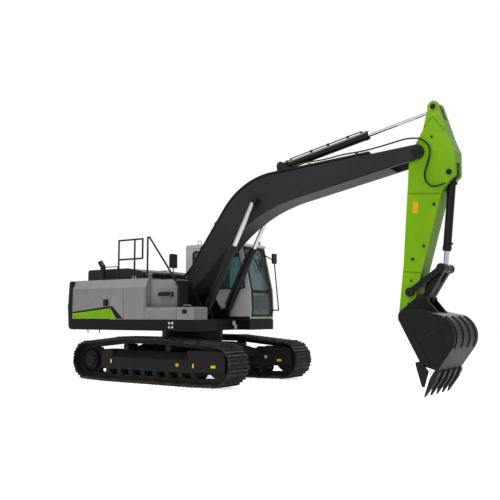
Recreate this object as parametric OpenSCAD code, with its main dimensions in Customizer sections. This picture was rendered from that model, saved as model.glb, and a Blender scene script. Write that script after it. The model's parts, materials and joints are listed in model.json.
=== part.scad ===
// Crawler excavator of the 21 tonne class, parked with its boom raised and its bucket dumped.
// Millimetres. X points forward, Y to the machine's left, Z up, and the ground is Z = 0.
// The origin is the middle of the parked machine's box on the ground.

/* [Tracks] */
// Distance between the middles of the two tracks
track_gauge = 2380; // [2000:10:2800]
// Width of a track shoe
shoe_width = 600; // [450:10:900]
// Number of shoes in each track
shoe_count = 47; // [41:1:53]
// Thickness of a shoe's plate
shoe_plate = 12; // [8:1:20]
// Height of the grousers on a shoe
grouser_height = 26; // [15:1:40]
// Height of a chain link from its rail to the shoe
link_height = 105; // [80:1:130]
// Width of each of the two rails of a chain
rail_width = 45; // [30:1:60]
// Distance of each rail from the middle of its track
rail_spread = 95; // [80:1:115]
// Distance between the axes of sprocket and idler
tumbler_distance = 3460; // [3000:10:4000]
// How far the ends of a track stand off the ground
tumbler_rise = 20; // [10:1:40]
// Radius of a track's ends over the grouser tips
track_end_radius = 400; // [360:5:460]
// Height of the track's top run over the carrier rollers
carrier_top = 930; // [880:5:980]
// Radius of a carrier roller
carrier_radius = 70; // [55:1:90]
// Place of the rear carrier roller, ahead of the swing axis
carrier_rear_x = -700; // [-1000:10:-400]
// Place of the front carrier roller, ahead of the swing axis
carrier_front_x = 450; // [200:10:800]

/* [Undercarriage] */
// Width of a track frame
frame_width = 380; // [300:5:440]
// Lower edge of a track frame
frame_bottom = 260; // [230:5:300]
// Upper edge of a track frame
frame_top = 640; // [560:5:700]
// Upper edge of a track frame's outer wall
frame_shoulder = 500; // [420:5:600]
// Thickness of a track frame's walls
frame_wall = 45; // [25:1:60]
// Rear end of a track frame
frame_rear_x = -1350; // [-1500:10:-1200]
// Front end of the box of a track frame
frame_front_x = 1300; // [1200:10:1400]
// Front end of the idler fork
fork_front_x = 1910; // [1800:10:2000]
// Number of lower rollers on each side
roller_count = 8; // [6:1:9]
// Distance between lower rollers
roller_pitch = 330; // [280:5:360]
// Radius of a lower roller's tread
roller_radius = 80; // [65:1:95]
// Radius of the sprocket over its teeth
sprocket_radius = 326; // [300:1:340]
// Number of sprocket teeth
sprocket_teeth = 21; // [17:1:25]
// Radius of the final drive's drum
drive_radius = 200; // [160:5:240]
// Clearance of the ground under the carbody
belly_height = 470; // [400:10:560]
// Radius of the carbody's pedestal
pedestal_radius = 640; // [560:5:720]
// Height of the pedestal's seat for the swing ring
pedestal_top = 880; // [820:5:920]
// Radius of the hole in a tow eye
tow_eye_radius = 32; // [20:1:45]

/* [Swing ring] */
// Inner radius of the fixed race
race_inner = 500; // [420:5:540]
// Outer radius of the fixed race
race_outer = 598; // [560:1:640]
// Outer radius of the turning race
race_guard = 660; // [620:5:720]

/* [Upper frame] */
// Half of the width over the upper frame
deck_half = 1355; // [1200:5:1450]
// Lower edge of the frame's skirt
deck_bottom = 1055; // [1000:5:1120]
// Upper edge of the frame's skirt
deck_top = 1280; // [1200:5:1360]
// Thickness of the deck's plates
deck_plate = 40; // [20:1:60]
// Rear end of the upper frame
deck_rear_x = -2340; // [-2500:5:-2200]
// Front end of the right deck
deck_right_x = 1145; // [1000:5:1300]
// Front end of the left deck under the cab
deck_left_x = 1215; // [1100:5:1300]
// Thickness of a boom bracket's plate
bracket_plate = 50; // [40:1:60]
// Gap between pieces that turn past each other at a pin
pin_gap = 6; // [5:0.5:12]
// Play of a pin in its hole
pin_play = 0.5; // [0.2:0.1:1]
// Gap around doors and lids
door_gap = 8; // [6:0.5:12]
// Gap beside a door's hinge
hinge_gap = 14; // [12:0.5:20]
// Radius of a door's hinge pin
hinge_radius = 8; // [5:0.5:12]
// Distance of a hinge pin from the door's edge and outer face
hinge_inset = 15; // [12:0.5:20]
// Distance of the cab door's hinge pins outside the cab
hinge_out = 18; // [16:0.5:26]

/* [Counterweight] */
// Radius of the tail about the swing axis
tail_radius = 2830; // [2600:10:3000]
// Upper edge of the counterweight
tail_top = 2120; // [1900:10:2300]
// Distance of the lifting holes from the middle
lift_spread = 480; // [300:10:700]
// Radius of the threaded lifting holes
lift_radius = 18; // [12:1:24]

/* [Housings] */
// Upper edge of the side housings
house_top = 2125; // [2000:5:2250]
// Height of the crease in the side housings
house_crease = 1940; // [1800:5:2050]
// How far the sides lean in above the crease
house_lean = 85; // [40:5:140]
// Thickness of housing panels
panel = 30; // [15:1:40]
// Half of the width of the engine hood
hood_half = 880; // [700:10:1000]
// Upper edge of the hood at its rear
hood_top = 2385; // [2250:5:2500]
// Upper edge of the hood at its front
hood_front_top = 2300; // [2200:5:2450]
// Front end of the hood
hood_front_x = -620; // [-800:10:-500]
// Place of the exhaust ahead of the swing axis
exhaust_x = -1700; // [-2000:10:-1400]
// Distance of the exhaust from the machine's middle
exhaust_side = 1060; // [960:10:1150]
// Seam between the pump door and the right housing
seam_right_x = -1150; // [-1400:10:-900]
// Front end of the right housing
house_right_x = -130; // [-300:10:0]
// Seam between the two left doors
seam_left_x = -1505; // [-1700:5:-1300]
// Front end of the left housing
house_left_x = -625; // [-700:5:-600]

/* [Tanks and boxes] */
// Front end of the fuel tank
tank_front_x = 520; // [450:10:650]
// Depth of the step beside the fuel tank
step_depth = 155; // [100:5:220]
// Depth of the fuel tank across the machine
tank_depth = 430; // [350:10:560]
// Upper edge of the fuel tank
tank_top = 2090; // [1900:10:2150]
// Thickness of the fuel tank's walls
tank_wall = 20; // [8:1:30]
// Upper edge of the step box beside the tank
step_top = 1530; // [1450:5:1600]
// Rear end of the tool box
tool_box_x = 710; // [660:5:800]
// Depth of the tool box across the machine
tool_box_depth = 420; // [300:10:600]
// Upper edge of the tool box
tool_box_top = 1500; // [1400:5:1560]

/* [Rails and mirrors] */
// Radius of a handrail's tube
rail_radius = 19; // [14:0.5:24]
// Distance of the handrails from the machine's middle
rail_side = 1235; // [1150:5:1260]
// Upper edge of the handrails
rail_top = 2955; // [2700:5:3100]

/* [Cab] */
// Right face of the cab
cab_right = 445; // [400:5:520]
// Rear face of the cab
cab_rear_x = -580; // [-660:5:-500]
// Front face of the cab at its foot
cab_front_x = 1205; // [1100:5:1300]
// Front face of the cab under its roof
cab_brow_x = 985; // [850:5:1100]
// Upper edge of the cab's walls
cab_wall_top = 2880; // [2700:5:3000]
// Upper edge of the cab's roof
cab_top = 2965; // [2800:5:3100]
// Thickness of the cab's walls
cab_wall = 60; // [40:1:80]
// Thickness of the window glass
glass = 10; // [5:1:14]
// Width of the pillars around the windows
pillar = 90; // [60:5:120]
// Lower edge of the right side window
sill = 1950; // [1800:10:2100]
// Lower edge of the windscreen
screen_bottom = 1365; // [1300:5:1450]
// Height of the bar between the two windscreens
screen_bar = 1880; // [1750:10:2050]
// Rear edge of the cab's door
door_rear_x = -95; // [-200:5:0]
// Thickness of the cab's door
door_thick = 45; // [30:1:60]

/* [Boom] */
// Place of the boom's foot pin ahead of the swing axis
foot_x = 50; // [-100:10:200]
// Height of the boom's foot pin
foot_z = 1950; // [1800:10:2100]
// Distance from the foot pin to the arm's pin
boom_length = 5680; // [5000:10:6200]
// Angle of the parked boom above level
boom_angle = 23.7; // [10:0.1:40]
// Half of the boom's width
boom_half = 250; // [200:5:300]
// Thickness of the plates of boom and arm
plate = 25; // [12:1:40]
// Radius of the boom's foot
foot_radius = 165; // [140:5:200]
// Radius of the boom's nose
nose_radius = 130; // [110:5:160]
// Length of the fork at the boom's nose
fork_length = 580; // [500:10:700]
// Radius of the pins at boom and arm
pin_radius = 50; // [40:1:60]

/* [Arm] */
// Distance from the arm's pin to the bucket's pin
arm_length = 2900; // [2400:10:3300]
// Lean of the parked arm towards the machine
arm_lean = 5.6; // [-20:0.1:30]
// Half of the arm's width
arm_half = 190; // [150:5:220]
// Thickness of a ear at the boom's fork
fork_ear = 54; // [40:1:60]

/* [Bucket] */
// Width over the bucket's side plates
bucket_width = 1240; // [900:10:1500]
// Thickness of the bucket's side plates and back
bucket_plate = 25; // [15:1:40]
// Radius of the bucket's back
back_radius = 380; // [300:10:450]
// Number of teeth
tooth_count = 5; // [3:1:6]
// Length of a tooth with its adapter
tooth_length = 490; // [300:10:500]
// Width of a tooth's adapter
tooth_width = 110; // [70:5:140]

/* [Linkage] */
// Length of the tipping links between their pins
tipping_length = 696; // [650:1:850]
// Length of the bucket link between its pins
bucket_link_length = 633; // [550:1:750]
// Thickness of a tipping link
tipping_plate = 50; // [35:1:70]
// Half of the gap between the bucket's ears
ear_half = 200; // [160:5:230]
// Thickness of a bucket ear
ear_plate = 50; // [35:1:70]

/* [Cylinders] */
// Distance of the boom cylinders from the middle
boom_cylinder_side = 355; // [320:5:420]
// Radius of a boom cylinder's barrel
boom_barrel = 75; // [60:1:85]
// Radius of a boom cylinder's rod
boom_rod = 45; // [35:1:55]
// Rod that shows between barrel and pin of a boom cylinder as parked
boom_rod_shown = 1013; // [913:1:1113]
// Gap between the base pin and the rod's inner end in a boom cylinder
boom_rod_gap = 953; // [893:1:1053]
// Radius of the arm cylinder's barrel
arm_barrel = 82; // [65:1:95]
// Radius of the arm cylinder's rod
arm_rod_radius = 48; // [38:1:60]
// Rod that shows between barrel and pin of the arm cylinder as parked
arm_rod_shown = 1344; // [1244:1:1444]
// Gap between the base pin and the rod's inner end in the arm cylinder
arm_rod_gap = 1354; // [1294:1:1454]
// Radius of the bucket cylinder's barrel
bucket_barrel = 70; // [55:1:80]
// Radius of the bucket cylinder's rod
bucket_rod_radius = 42; // [32:1:50]
// Rod that shows between barrel and pin of the bucket cylinder as parked
bucket_rod_shown = 305; // [205:1:405]
// Gap between the base pin and the rod's inner end in the bucket cylinder
bucket_rod_gap = 215; // [155:1:315]
// Thickness of a cylinder's tube
tube_wall = 14; // [8:1:20]
// Play of a rod in its gland
rod_play = 0.5; // [0.2:0.1:1]

/* [Hidden] */
$fn = 48;

// Small helpers for outlines
function unit(v) = v / norm(v);
function turned(p, a) = [p[0] * cos(a) - p[1] * sin(a), p[0] * sin(a) + p[1] * cos(a)];
function cross2(u, v) = u[0] * v[1] - u[1] * v[0];
function wrap(a) = a < 0 ? a + 360 : a >= 360 ? a - 360 : a;
function arc(c, r, a0, a1, n = 8) = [for (i = [0:n]) let (a = a0 + (a1 - a0) * i / n)
    [c[0] + r * cos(a), c[1] + r * sin(a)]];
function bend(a, b, c, r, n) = let (u = unit(a - b), v = unit(c - b), h = acos(u * v) / 2,
    o = b + unit(u + v) * r / sin(h), p = b + u * r / tan(h) - o, q = b + v * r / tan(h) - o,
    s = atan2(p[1], p[0]), t = atan2(q[1], q[0]) - s, d = t > 180 ? t - 360 : t < -180 ? t + 360 : t)
    [for (i = [0:n]) o + r * [cos(s + d * i / n), sin(s + d * i / n)]];
function xy(p) = [p[0], p[1]];
// Outline from a list of corners, each with the radius that rounds it
function rounded(k, n = 6) = let (m = len(k)) [for (i = [0:m - 1]) each k[i][2] > 0
    ? bend(xy(k[(i + m - 1) % m]), xy(k[i]), xy(k[(i + 1) % m]), k[i][2], n) : [xy(k[i])]];
// Where two circles cross, on the left of the way from the first to the second
function crossing(c, r, d, s) = let (w = norm(d - c), a = (r * r - s * s + w * w) / (2 * w),
    u = unit(d - c), h = sqrt(r * r - a * a)) c + a * u + h * [-u[1], u[0]];

// Outlines in the XZ plane drawn out along Y, and in the YZ plane drawn out along X
module across(y0, y1) translate([0, y1, 0]) rotate([90, 0, 0]) linear_extrude(y1 - y0) children();
module along(x0, x1) translate([x0, 0, 0]) rotate([90, 0, 90]) linear_extrude(x1 - x0) children();
module block(a, b) translate(a) cube(b - a);
module bar(x, z, r, y0, y1) translate([x, y1, z]) rotate([90, 0, 0]) cylinder(r = r, h = y1 - y0);
module twin() {
    children();
    mirror([0, 1, 0]) children();
}
module tube(a, b, r) {
    d = b - a;
    translate(a) rotate([0, acos(d[2] / norm(d)), atan2(d[1], d[0])]) cylinder(r = r, h = norm(d));
}
module run(points, r) {
    for (i = [0:len(points) - 2]) tube(points[i], points[i + 1], r);
    for (i = [1:len(points) - 2]) translate(points[i]) sphere(r = r + 1);
}

// Pins of the front, in the XZ plane with the swing axis at zero
foot = [foot_x, foot_z];
nose = foot + boom_length * [cos(boom_angle), sin(boom_angle)];
function on_boom(p) = foot + turned(p, boom_angle);
function on_arm(p) = nose + turned(p, -arm_lean);
tip = on_arm([0, -arm_length]);
base_lug = [595, -360];
ear_lug = [330, 290];
tipping_rise = 428;
boom_base = [650, 1420];
boom_pin = on_boom([2345, 850]);
arm_base = on_boom([3090, 1275]);
arm_pin = on_arm([228, 800]);
bucket_base = on_arm(base_lug);
tipping_pin = on_arm([62, tipping_rise - arm_length]);
ear_pin = tip + ear_lug;
rod_pin = crossing(tipping_pin, tipping_length, ear_pin, bucket_link_length);

boom_parked = norm(boom_pin - boom_base);
arm_parked = norm(arm_pin - arm_base);
bucket_parked = norm(rod_pin - bucket_base);

// The parked machine's box, whose middle is the origin
back_mid = [630, -330];
front_x = tip[0] + back_mid[0] + back_radius;
swing_x = -(front_x - tail_radius) / 2;
module placed() translate([swing_x, 0, 0]) children();

// The loop of a track as wheels with straight runs between them
shoe_depth = shoe_plate + grouser_height;
belt_radius = track_end_radius - shoe_depth;
idler_radius = belt_radius - link_height;
carrier_z = carrier_top - shoe_depth - carrier_radius - link_height;
roller_z = shoe_depth + link_height + roller_radius;
roller_places = [for (i = [0:roller_count - 1]) (i - (roller_count - 1) / 2) * roller_pitch];
wheel_x = tumbler_distance / 2;
wheel_z = track_end_radius + tumbler_rise;
wheels = [[-wheel_x, wheel_z, belt_radius],
    [roller_places[0], roller_z, roller_radius + link_height],
    [roller_places[roller_count - 1], roller_z, roller_radius + link_height],
    [wheel_x, wheel_z, belt_radius],
    [carrier_front_x, carrier_z, carrier_radius + link_height],
    [carrier_rear_x, carrier_z, carrier_radius + link_height]];
turns = len(wheels);
function step_of(i) = let (a = wheels[i], b = wheels[(i + 1) % turns]) [b[0] - a[0], b[1] - a[1],
    a[2] - b[2]];
function facing(i) = let (d = step_of(i)) atan2(d[1], d[0]) - acos(d[2] / norm([d[0], d[1]]));
function arc_length(i) = wheels[i][2] * wrap(facing(i) - facing((i + turns - 1) % turns)) * PI / 180;
function run_length(i) = let (d = step_of(i)) sqrt(d[0] * d[0] + d[1] * d[1] - d[2] * d[2]);
function piece(k) = k % 2 == 0 ? arc_length(k / 2) : run_length((k - 1) / 2);
marks = [for (i = 0, t = 0; i <= 2 * turns; t = t + (i < 2 * turns ? piece(i) : 0), i = i + 1) t];
shoe_pitch = marks[2 * turns] / shoe_count;
function belt(s) = let (k = [for (j = [0:2 * turns - 1]) if (s >= marks[j] && s < marks[j + 1]) j][0],
    i = floor(k / 2), w = wheels[i], d = s - marks[k],
    a = k % 2 == 0 ? facing((i + turns - 1) % turns) + d / w[2] * 180 / PI : facing(i),
        e = k % 2 == 0 ? 0 : d)
    [w[0] + w[2] * cos(a) - e * sin(a), w[1] + w[2] * sin(a) + e * cos(a), a];
links = [for (i = [0:shoe_count - 1]) belt((i + 0.5) * shoe_pitch)];
function on_link(b, p) = [b[0] + p[1] * cos(b[2]) - p[0] * sin(b[2]),
    b[1] + p[1] * sin(b[2]) + p[0] * cos(b[2])];
function knuckle(i, d) = let (a = links[i], b = links[(i + 1) % shoe_count], p = on_link(a, [0, -d]),
    q = on_link(b, [0, -d]), u = on_link(a, [1, -d]) - p, v = on_link(b, [1, -d]) - q)
    abs(cross2(u, v)) < 0.01 ? (p + q) / 2 : p + u * cross2(q - p, v) / cross2(u, v);
function link_loop(d) = [for (i = [0:shoe_count - 1]) knuckle(i, d)];
half_shoe = shoe_pitch / 2 - 3;
tread = [[-half_shoe, 0], [-half_shoe + 3, shoe_depth], [-half_shoe + 15, shoe_depth],
    [-half_shoe + 24, shoe_plate], [-11, shoe_plate], [-6, shoe_depth], [6, shoe_depth], [11, shoe_plate],
    [half_shoe - 24, shoe_plate], [half_shoe - 15, shoe_depth], [half_shoe - 3, shoe_depth], [half_shoe,
        0]];
shoe_loop = [for (b = links) each [for (p = tread) on_link(b, p)]];
shoe_seat = 14;

module track() {
    across(-shoe_width / 2, shoe_width / 2) difference() {
        polygon(shoe_loop);
        polygon(link_loop(shoe_seat));
    }
    for (s = [-1, 1]) across(s * rail_spread - rail_width / 2,
        s * rail_spread + rail_width / 2) difference() {
        polygon(link_loop(shoe_seat / 2));
        polygon(link_loop(link_height));
    }
}
module on_right() translate([0, -track_gauge / 2, 0]) mirror([0, 1, 0]) children();
module on_left() translate([0, track_gauge / 2, 0]) children();

// Track frames, each drawn with its outer side towards +Y
frame_half = frame_width / 2;
channel_half = frame_half - frame_wall;
frame_section = [[-frame_half, frame_bottom], [-frame_half, frame_top - 40], [-frame_half + 40, frame_top],
    [40, frame_top], [frame_half, frame_shoulder], [frame_half, frame_bottom]];
fork_wall = rounded([[frame_front_x - 150, 270, 0], [fork_front_x, 290, 60], [fork_front_x, 690, 110],
    [frame_front_x - 300, 690, 60], [frame_front_x - 300, 600, 0]]);
module track_frame() {
    difference() {
        union() {
            along(frame_rear_x, frame_front_x) polygon(frame_section);
            block([frame_rear_x, -frame_half, frame_bottom], [frame_rear_x + 330, frame_half,
                frame_top + 15]);
            across(channel_half, frame_half) polygon(fork_wall);
            across(-frame_half, -channel_half) polygon(fork_wall);
            block([-wheel_x, -frame_half, 290], [frame_rear_x + 10, -channel_half, 560]);
            bar(-wheel_x, wheel_z, drive_radius + 20, -frame_half, -channel_half);
            for (x = [carrier_rear_x, carrier_front_x])
                block([x - 55, -frame_half + 15, frame_top - 40], [x + 55, -135, carrier_z + 50]);
            for (x = roller_places) for (s = [-1, 1])
                block([x - 60, s * (frame_half + channel_half) / 2 - 20, roller_z - 45],
                    [x + 60, s * (frame_half + channel_half) / 2 + 20, frame_bottom + 10]);
        }
        block([frame_rear_x - 10, -channel_half, 0], [frame_front_x + 10, channel_half, frame_bottom + 95]);
        bar(-wheel_x, wheel_z, drive_radius - 50 + pin_play, -frame_half - 1, -channel_half + 1);
    }
}
module final_drive() {
    tooth = 360 / sprocket_teeth;
    difference() {
        across(-45, 45) translate([-wheel_x, wheel_z]) polygon([for (i = [0:sprocket_teeth - 1])
            each [for (k = [[-0.34, 40], [-0.12, 0], [0.12, 0], [0.34, 40]])
            let (a = (i + k[0]) * tooth, r = sprocket_radius - k[1]) r * [cos(a), sin(a)]]]);
        for (i = [0:7]) bar(-wheel_x + 245 * cos(i * 45), wheel_z + 245 * sin(i * 45), 16, -46, 46);
    }
    bar(-wheel_x, wheel_z, drive_radius, -channel_half + 5, 130);
    bar(-wheel_x, wheel_z, drive_radius - 60, 129, 165);
    bar(-wheel_x, wheel_z, drive_radius - 50, -frame_half - 150, -channel_half + 6);
}
module idler() {
    bar(wheel_x, wheel_z, idler_radius - 1, -130, 130);
    bar(wheel_x, wheel_z, idler_radius + 26, -45, 45);
    bar(wheel_x, wheel_z, 80, -channel_half + pin_play, channel_half - pin_play);
}
module roller_set() {
    for (x = roller_places) {
        bar(x, roller_z, roller_radius - pin_play, -128, 128);
        for (s = [-1, 1]) bar(x, roller_z, roller_radius + 16, s * 131 - 9, s * 131 + 9);
        bar(x, roller_z, min(38, frame_bottom - roller_z - 1.5), -(frame_half + channel_half) / 2 + 20.5,
            (frame_half + channel_half) / 2 - 20.5);
    }
    for (x = [carrier_rear_x, carrier_front_x]) {
        bar(x, carrier_z, carrier_radius - pin_play, -122, 122);
        bar(x, carrier_z, 40, -135 + pin_play, 128);
    }
}

// Carbody with its four legs and two tow eyes
leg_end = track_gauge / 2 - frame_half;
leg_plan = [[1050, leg_end], [620, 420], [620, -420], [1050, -leg_end], [480, -leg_end], [200, -560],
    [-200, -560], [-480, -leg_end], [-1050, -leg_end], [-620, -420], [-620, 420], [-1050, leg_end],
    [-480, leg_end], [-200, 560], [200, 560], [480, leg_end]];
leg_rise = [[-leg_end, belly_height], [-leg_end, 625], [-560, 800], [560, 800], [leg_end, 625], [leg_end,
    belly_height]];
eye_x = 720;
eye_z = belly_height + 105;
module carbody() placed() color("DimGray") {
    difference() {
        union() {
            intersection() {
                translate([0, 0, belly_height]) linear_extrude(400) polygon(leg_plan);
                along(-1100, 1100) polygon(leg_rise);
            }
            translate([0, 0, belly_height]) cylinder(r = pedestal_radius, h = pedestal_top - belly_height);
            for (s = [-1, 1]) block([s * 690 - 110, -30, belly_height + 20], [s * 690 + 110, 30,
                belly_height + 190]);
        }
        translate([0, 0, belly_height + 40]) cylinder(r = race_inner, h = 600);
        for (s = [-1, 1]) bar(s * eye_x, eye_z, tow_eye_radius, -40, 40);
    }
}
module swing_ring() placed() color("SlateGray") translate([0, 0, pedestal_top]) difference() {
    cylinder(r = race_outer, h = 95);
    translate([0, 0, -1]) cylinder(r = race_inner, h = 97);
}
module track_frame_right() placed() color("DimGray") on_right() track_frame();
module track_frame_left() placed() color("DimGray") on_left() track_frame();
module final_drives() placed() color("DimGray") {
    on_right() final_drive();
    on_left() final_drive();
}
module idlers() placed() color("SlateGray") {
    on_right() idler();
    on_left() idler();
}
module rollers() placed() color("SlateGray") {
    on_right() roller_set();
    on_left() roller_set();
}
module track_right() placed() color("DarkSlateGray") on_right() track();
module track_left() placed() color("DarkSlateGray") on_left() track();

tank_side = deck_half - step_depth;
tank_inner = tank_side - tank_depth;
box_inner = deck_half - tool_box_depth;

// Upper frame with its skirt and the brackets of the boom and its cylinders
bracket_inner = boom_half + 12 + pin_gap;
bracket_outer = bracket_inner + bracket_plate;
deck_plan = [[deck_rear_x, -deck_half], [deck_right_x, -deck_half], [deck_right_x, -640], [880, -640],
    [880, 430], [deck_left_x, 430], [deck_left_x, deck_half], [deck_rear_x, deck_half]];
bracket_side = concat([[-900, deck_bottom + 10], [860, deck_bottom + 10]], arc(boom_base, 100, -10, 150),
    arc(foot, foot_radius - 10, 40, 160), [[-900, deck_top + 20]]);
module main_frame() placed() color("DarkSlateGray") {
    difference() {
        union() {
            translate([0, 0, deck_bottom]) linear_extrude(deck_top - deck_bottom) polygon(deck_plan);
            translate([0, 0, pedestal_top + 25]) cylinder(r = race_guard, h = deck_bottom - pedestal_top);
            twin() across(bracket_inner, bracket_outer) polygon(bracket_side);
        }
        translate([0, 0, pedestal_top]) cylinder(r = race_outer + pin_play, h = deck_bottom - pedestal_top);
        for (a = [[deck_rear_x + deck_plate, 55 - deck_half, -700], [deck_rear_x + deck_plate, 700,
            deck_half - 55]])
            block([a[0], a[1], deck_bottom + deck_plate], [560, a[2], deck_top + 1]);
        block([deck_rear_x + deck_plate, -660, deck_bottom + deck_plate], [-950, 660, deck_top + 1]);
        twin() bar(foot[0], foot[1], pin_radius + pin_play, bracket_inner - 1, bracket_outer + 1);
    }
    twin() bar(boom_base[0], boom_base[1], pin_radius, bracket_outer - 5, boom_cylinder_side + 36);
    hinge_pin(house_rear_x);
    mirror([0, 1, 0]) hinge_pin(house_rear_x);
    mirror([0, 1, 0]) hinge_pin(seam_left_x + hinge_gap);
}
lift_x = deck_rear_x - 180;
tail_side = rounded([[-3000, deck_bottom + 5, 0], [deck_rear_x, deck_bottom + 5, 0], [deck_rear_x,
    tail_top, 40],
    [-2700, tail_top, 0], [-3000, tail_top - 60, 0]]);
tail_profile = rounded([[0, deck_bottom, 0], [tail_radius - 40, deck_bottom, 90], [tail_radius,
    tail_top - 520, 0],
    [tail_radius - 12, tail_top - 500, 0], [tail_radius - 40, tail_top, 60], [0, tail_top, 0]]);
module counterweight() placed() color("DimGray") difference() {
    intersection() {
        rotate_extrude($fn = 96) polygon(tail_profile);
        across(-deck_half, deck_half) polygon(tail_side);
        translate([0, 0, deck_bottom]) linear_extrude(2000) polygon(rounded([[deck_rear_x, -deck_half, 0],
            [deck_rear_x, deck_half, 0], [-2560, deck_half, 160], [-3000, 900, 0], [-3000, -900, 0],
            [-2560, -deck_half, 160]]));
    }
    twin() translate([lift_x, lift_spread, tail_top - 120]) cylinder(r = lift_radius, h = 200);
    twin() translate([lift_x, lift_spread, tail_top - 10]) cylinder(r = lift_radius + 27, h = 20);
}
module engine() placed() color("Gray") {
    block([-2150, -620, deck_bottom + deck_plate], [-1350, 520, 2020]);
    block([-2050, -880, 1350], [-1500, -620, 1750]);
}

// Side housings, their doors and the hood between them
house_section = [[-deck_half, deck_top], [-deck_half, house_crease], [-deck_half + house_lean, house_top],
    [-hood_half - 10, house_top], [-hood_half - 10, house_top - panel], [-deck_half + house_lean + 20,
        house_top - panel],
    [-deck_half + panel, house_crease - 5], [-deck_half + panel, deck_top]];
roof_side = -deck_half + house_lean + door_gap;
roof_section = [[roof_side, house_top], [-hood_half - 10, house_top], [-hood_half - 10, house_top - panel],
    [roof_side, house_top - panel]];
door_section = [[-deck_half, deck_top + door_gap], [-deck_half, house_crease], [-deck_half + house_lean,
    house_top],
    [-deck_half + house_lean, house_top - panel], [-deck_half + panel, house_crease - 8],
    [-deck_half + panel, deck_top + door_gap]];
wall_side = -deck_half + panel + hinge_gap;
wall_section = [[wall_side, deck_top], [wall_side, house_crease - 30], [wall_side + house_lean,
    house_top - panel],
    [-hood_half - 10, house_top - panel], [-hood_half - 10, deck_top]];
house_rear_x = deck_rear_x + hinge_gap;
hinge_side = -deck_half + hinge_inset;
module hinge_hole(x) translate([x + hinge_inset, hinge_side,
    deck_top]) cylinder(r = hinge_radius + pin_play, h = 40);
module hinge_pin(x) translate([x + hinge_inset, hinge_side, deck_top - 20]) cylinder(r = hinge_radius,
    h = 50);
module right_housing() placed() color("Gray") {
    along(seam_right_x, house_right_x) polygon(house_section);
    along(house_rear_x, seam_right_x) polygon(roof_section);
    for (x = [house_rear_x, seam_right_x, house_right_x - panel]) along(x, x + panel) polygon(wall_section);
    translate([house_right_x - 170, -tank_side + 130, house_top - 1]) cylinder(r = 62, h = 90);
    translate([house_right_x - 170, -tank_side + 130, house_top + 88]) cylinder(r1 = 70, r2 = 58, h = 40);
}
module left_housing() placed() color("Gray") mirror([0, 1, 0]) {
    along(house_rear_x, house_left_x) polygon(roof_section);
    for (x = [house_rear_x, seam_left_x - panel / 2, house_left_x - panel]) along(x,
        x + panel) polygon(wall_section);
}
module side_door(x0, x1, louvres = 0) difference() {
    union() {
        along(x0, x1) polygon(door_section);
        translate([x1 - 110, -deck_half + 1, latch_z]) rotate([90, 0,
            0]) linear_extrude(9) offset_plate(120, 80);
    }
    hinge_hole(x0);
    translate([x1 - 110, -deck_half - 10, latch_z]) rotate([90, 0, 0]) cylinder(r = 14, h = 12,
        center = true);
    for (i = [0:1:louvres - 1]) block([x0 + 130, -deck_half - 1, house_crease - 110 - i * louvre_pitch],
        [x1 - 230, -deck_half + panel + 1, house_crease - 110 - i * louvre_pitch + louvre_height]);
}
latch_z = 1630;
louvre_pitch = 52;
louvre_height = 24;
module offset_plate(w, h) polygon(rounded([[-w / 2, -h / 2, 18], [w / 2, -h / 2, 18], [w / 2, h / 2, 18],
    [-w / 2, h / 2, 18]]));
module pump_door() placed() color("Gray") side_door(house_rear_x, seam_right_x - door_gap);
module cooler_door() placed() color("Gray") mirror([0, 1, 0]) side_door(house_rear_x,
    seam_left_x - door_gap, 10);
module service_door() placed() color("Gray") mirror([0, 1, 0]) side_door(seam_left_x + hinge_gap,
    house_left_x, 6);
hood_side = rounded([[house_rear_x, house_top + 0.5, 0], [hood_front_x, house_top + 0.5, 0],
    [hood_front_x, hood_front_top, 60],
    [-1100, hood_top, 200], [house_rear_x, hood_top, 60]]);
hood_inside = [[house_rear_x + panel, house_top - 10], [hood_front_x - panel, house_top - 10],
    [hood_front_x - panel, hood_front_top - 50], [-1100, hood_top - 40], [house_rear_x + panel,
        hood_top - 40]];
hinge_tube = 16;
module engine_hood() placed() color("DarkSlateGray") {
    difference() {
        across(-hood_half - 40, hood_half + 40) polygon(hood_side);
        across(-hood_half - 40 + panel, hood_half + 40 - panel) polygon(hood_inside);
        for (i = [0:7]) for (s = [-1, 1]) block([-2150 + i * 70, s * 420 - 260, hood_top - 60],
            [-2150 + i * 70 + 32, s * 420 + 260, hood_top + 10]);
    }
    for (s = [-1, 1]) block([house_rear_x + 90, s * (hood_half - 90) - 18, hood_top - 30], [-1160,
        s * (hood_half - 90) + 18, hood_top + 12]);
    bar(hood_front_x - 2, hood_front_top - 40, hinge_tube, -hood_half + 100, hood_half - 100);
}
module exhaust_pipe() placed() color("DimGray") difference() {
    union() {
        translate([exhaust_x, -exhaust_side, house_top]) cylinder(r1 = 90, r2 = 70, h = 40);
        run([[exhaust_x, -exhaust_side, house_top + 20], [exhaust_x, -exhaust_side, hood_top + 45],
            [exhaust_x - 90, -exhaust_side, hood_top + 155]], 58);
    }
    tube([exhaust_x - 15, -exhaust_side, hood_top + 63], [exhaust_x - 140, -exhaust_side,
        hood_top + 217], 48);
}

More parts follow.
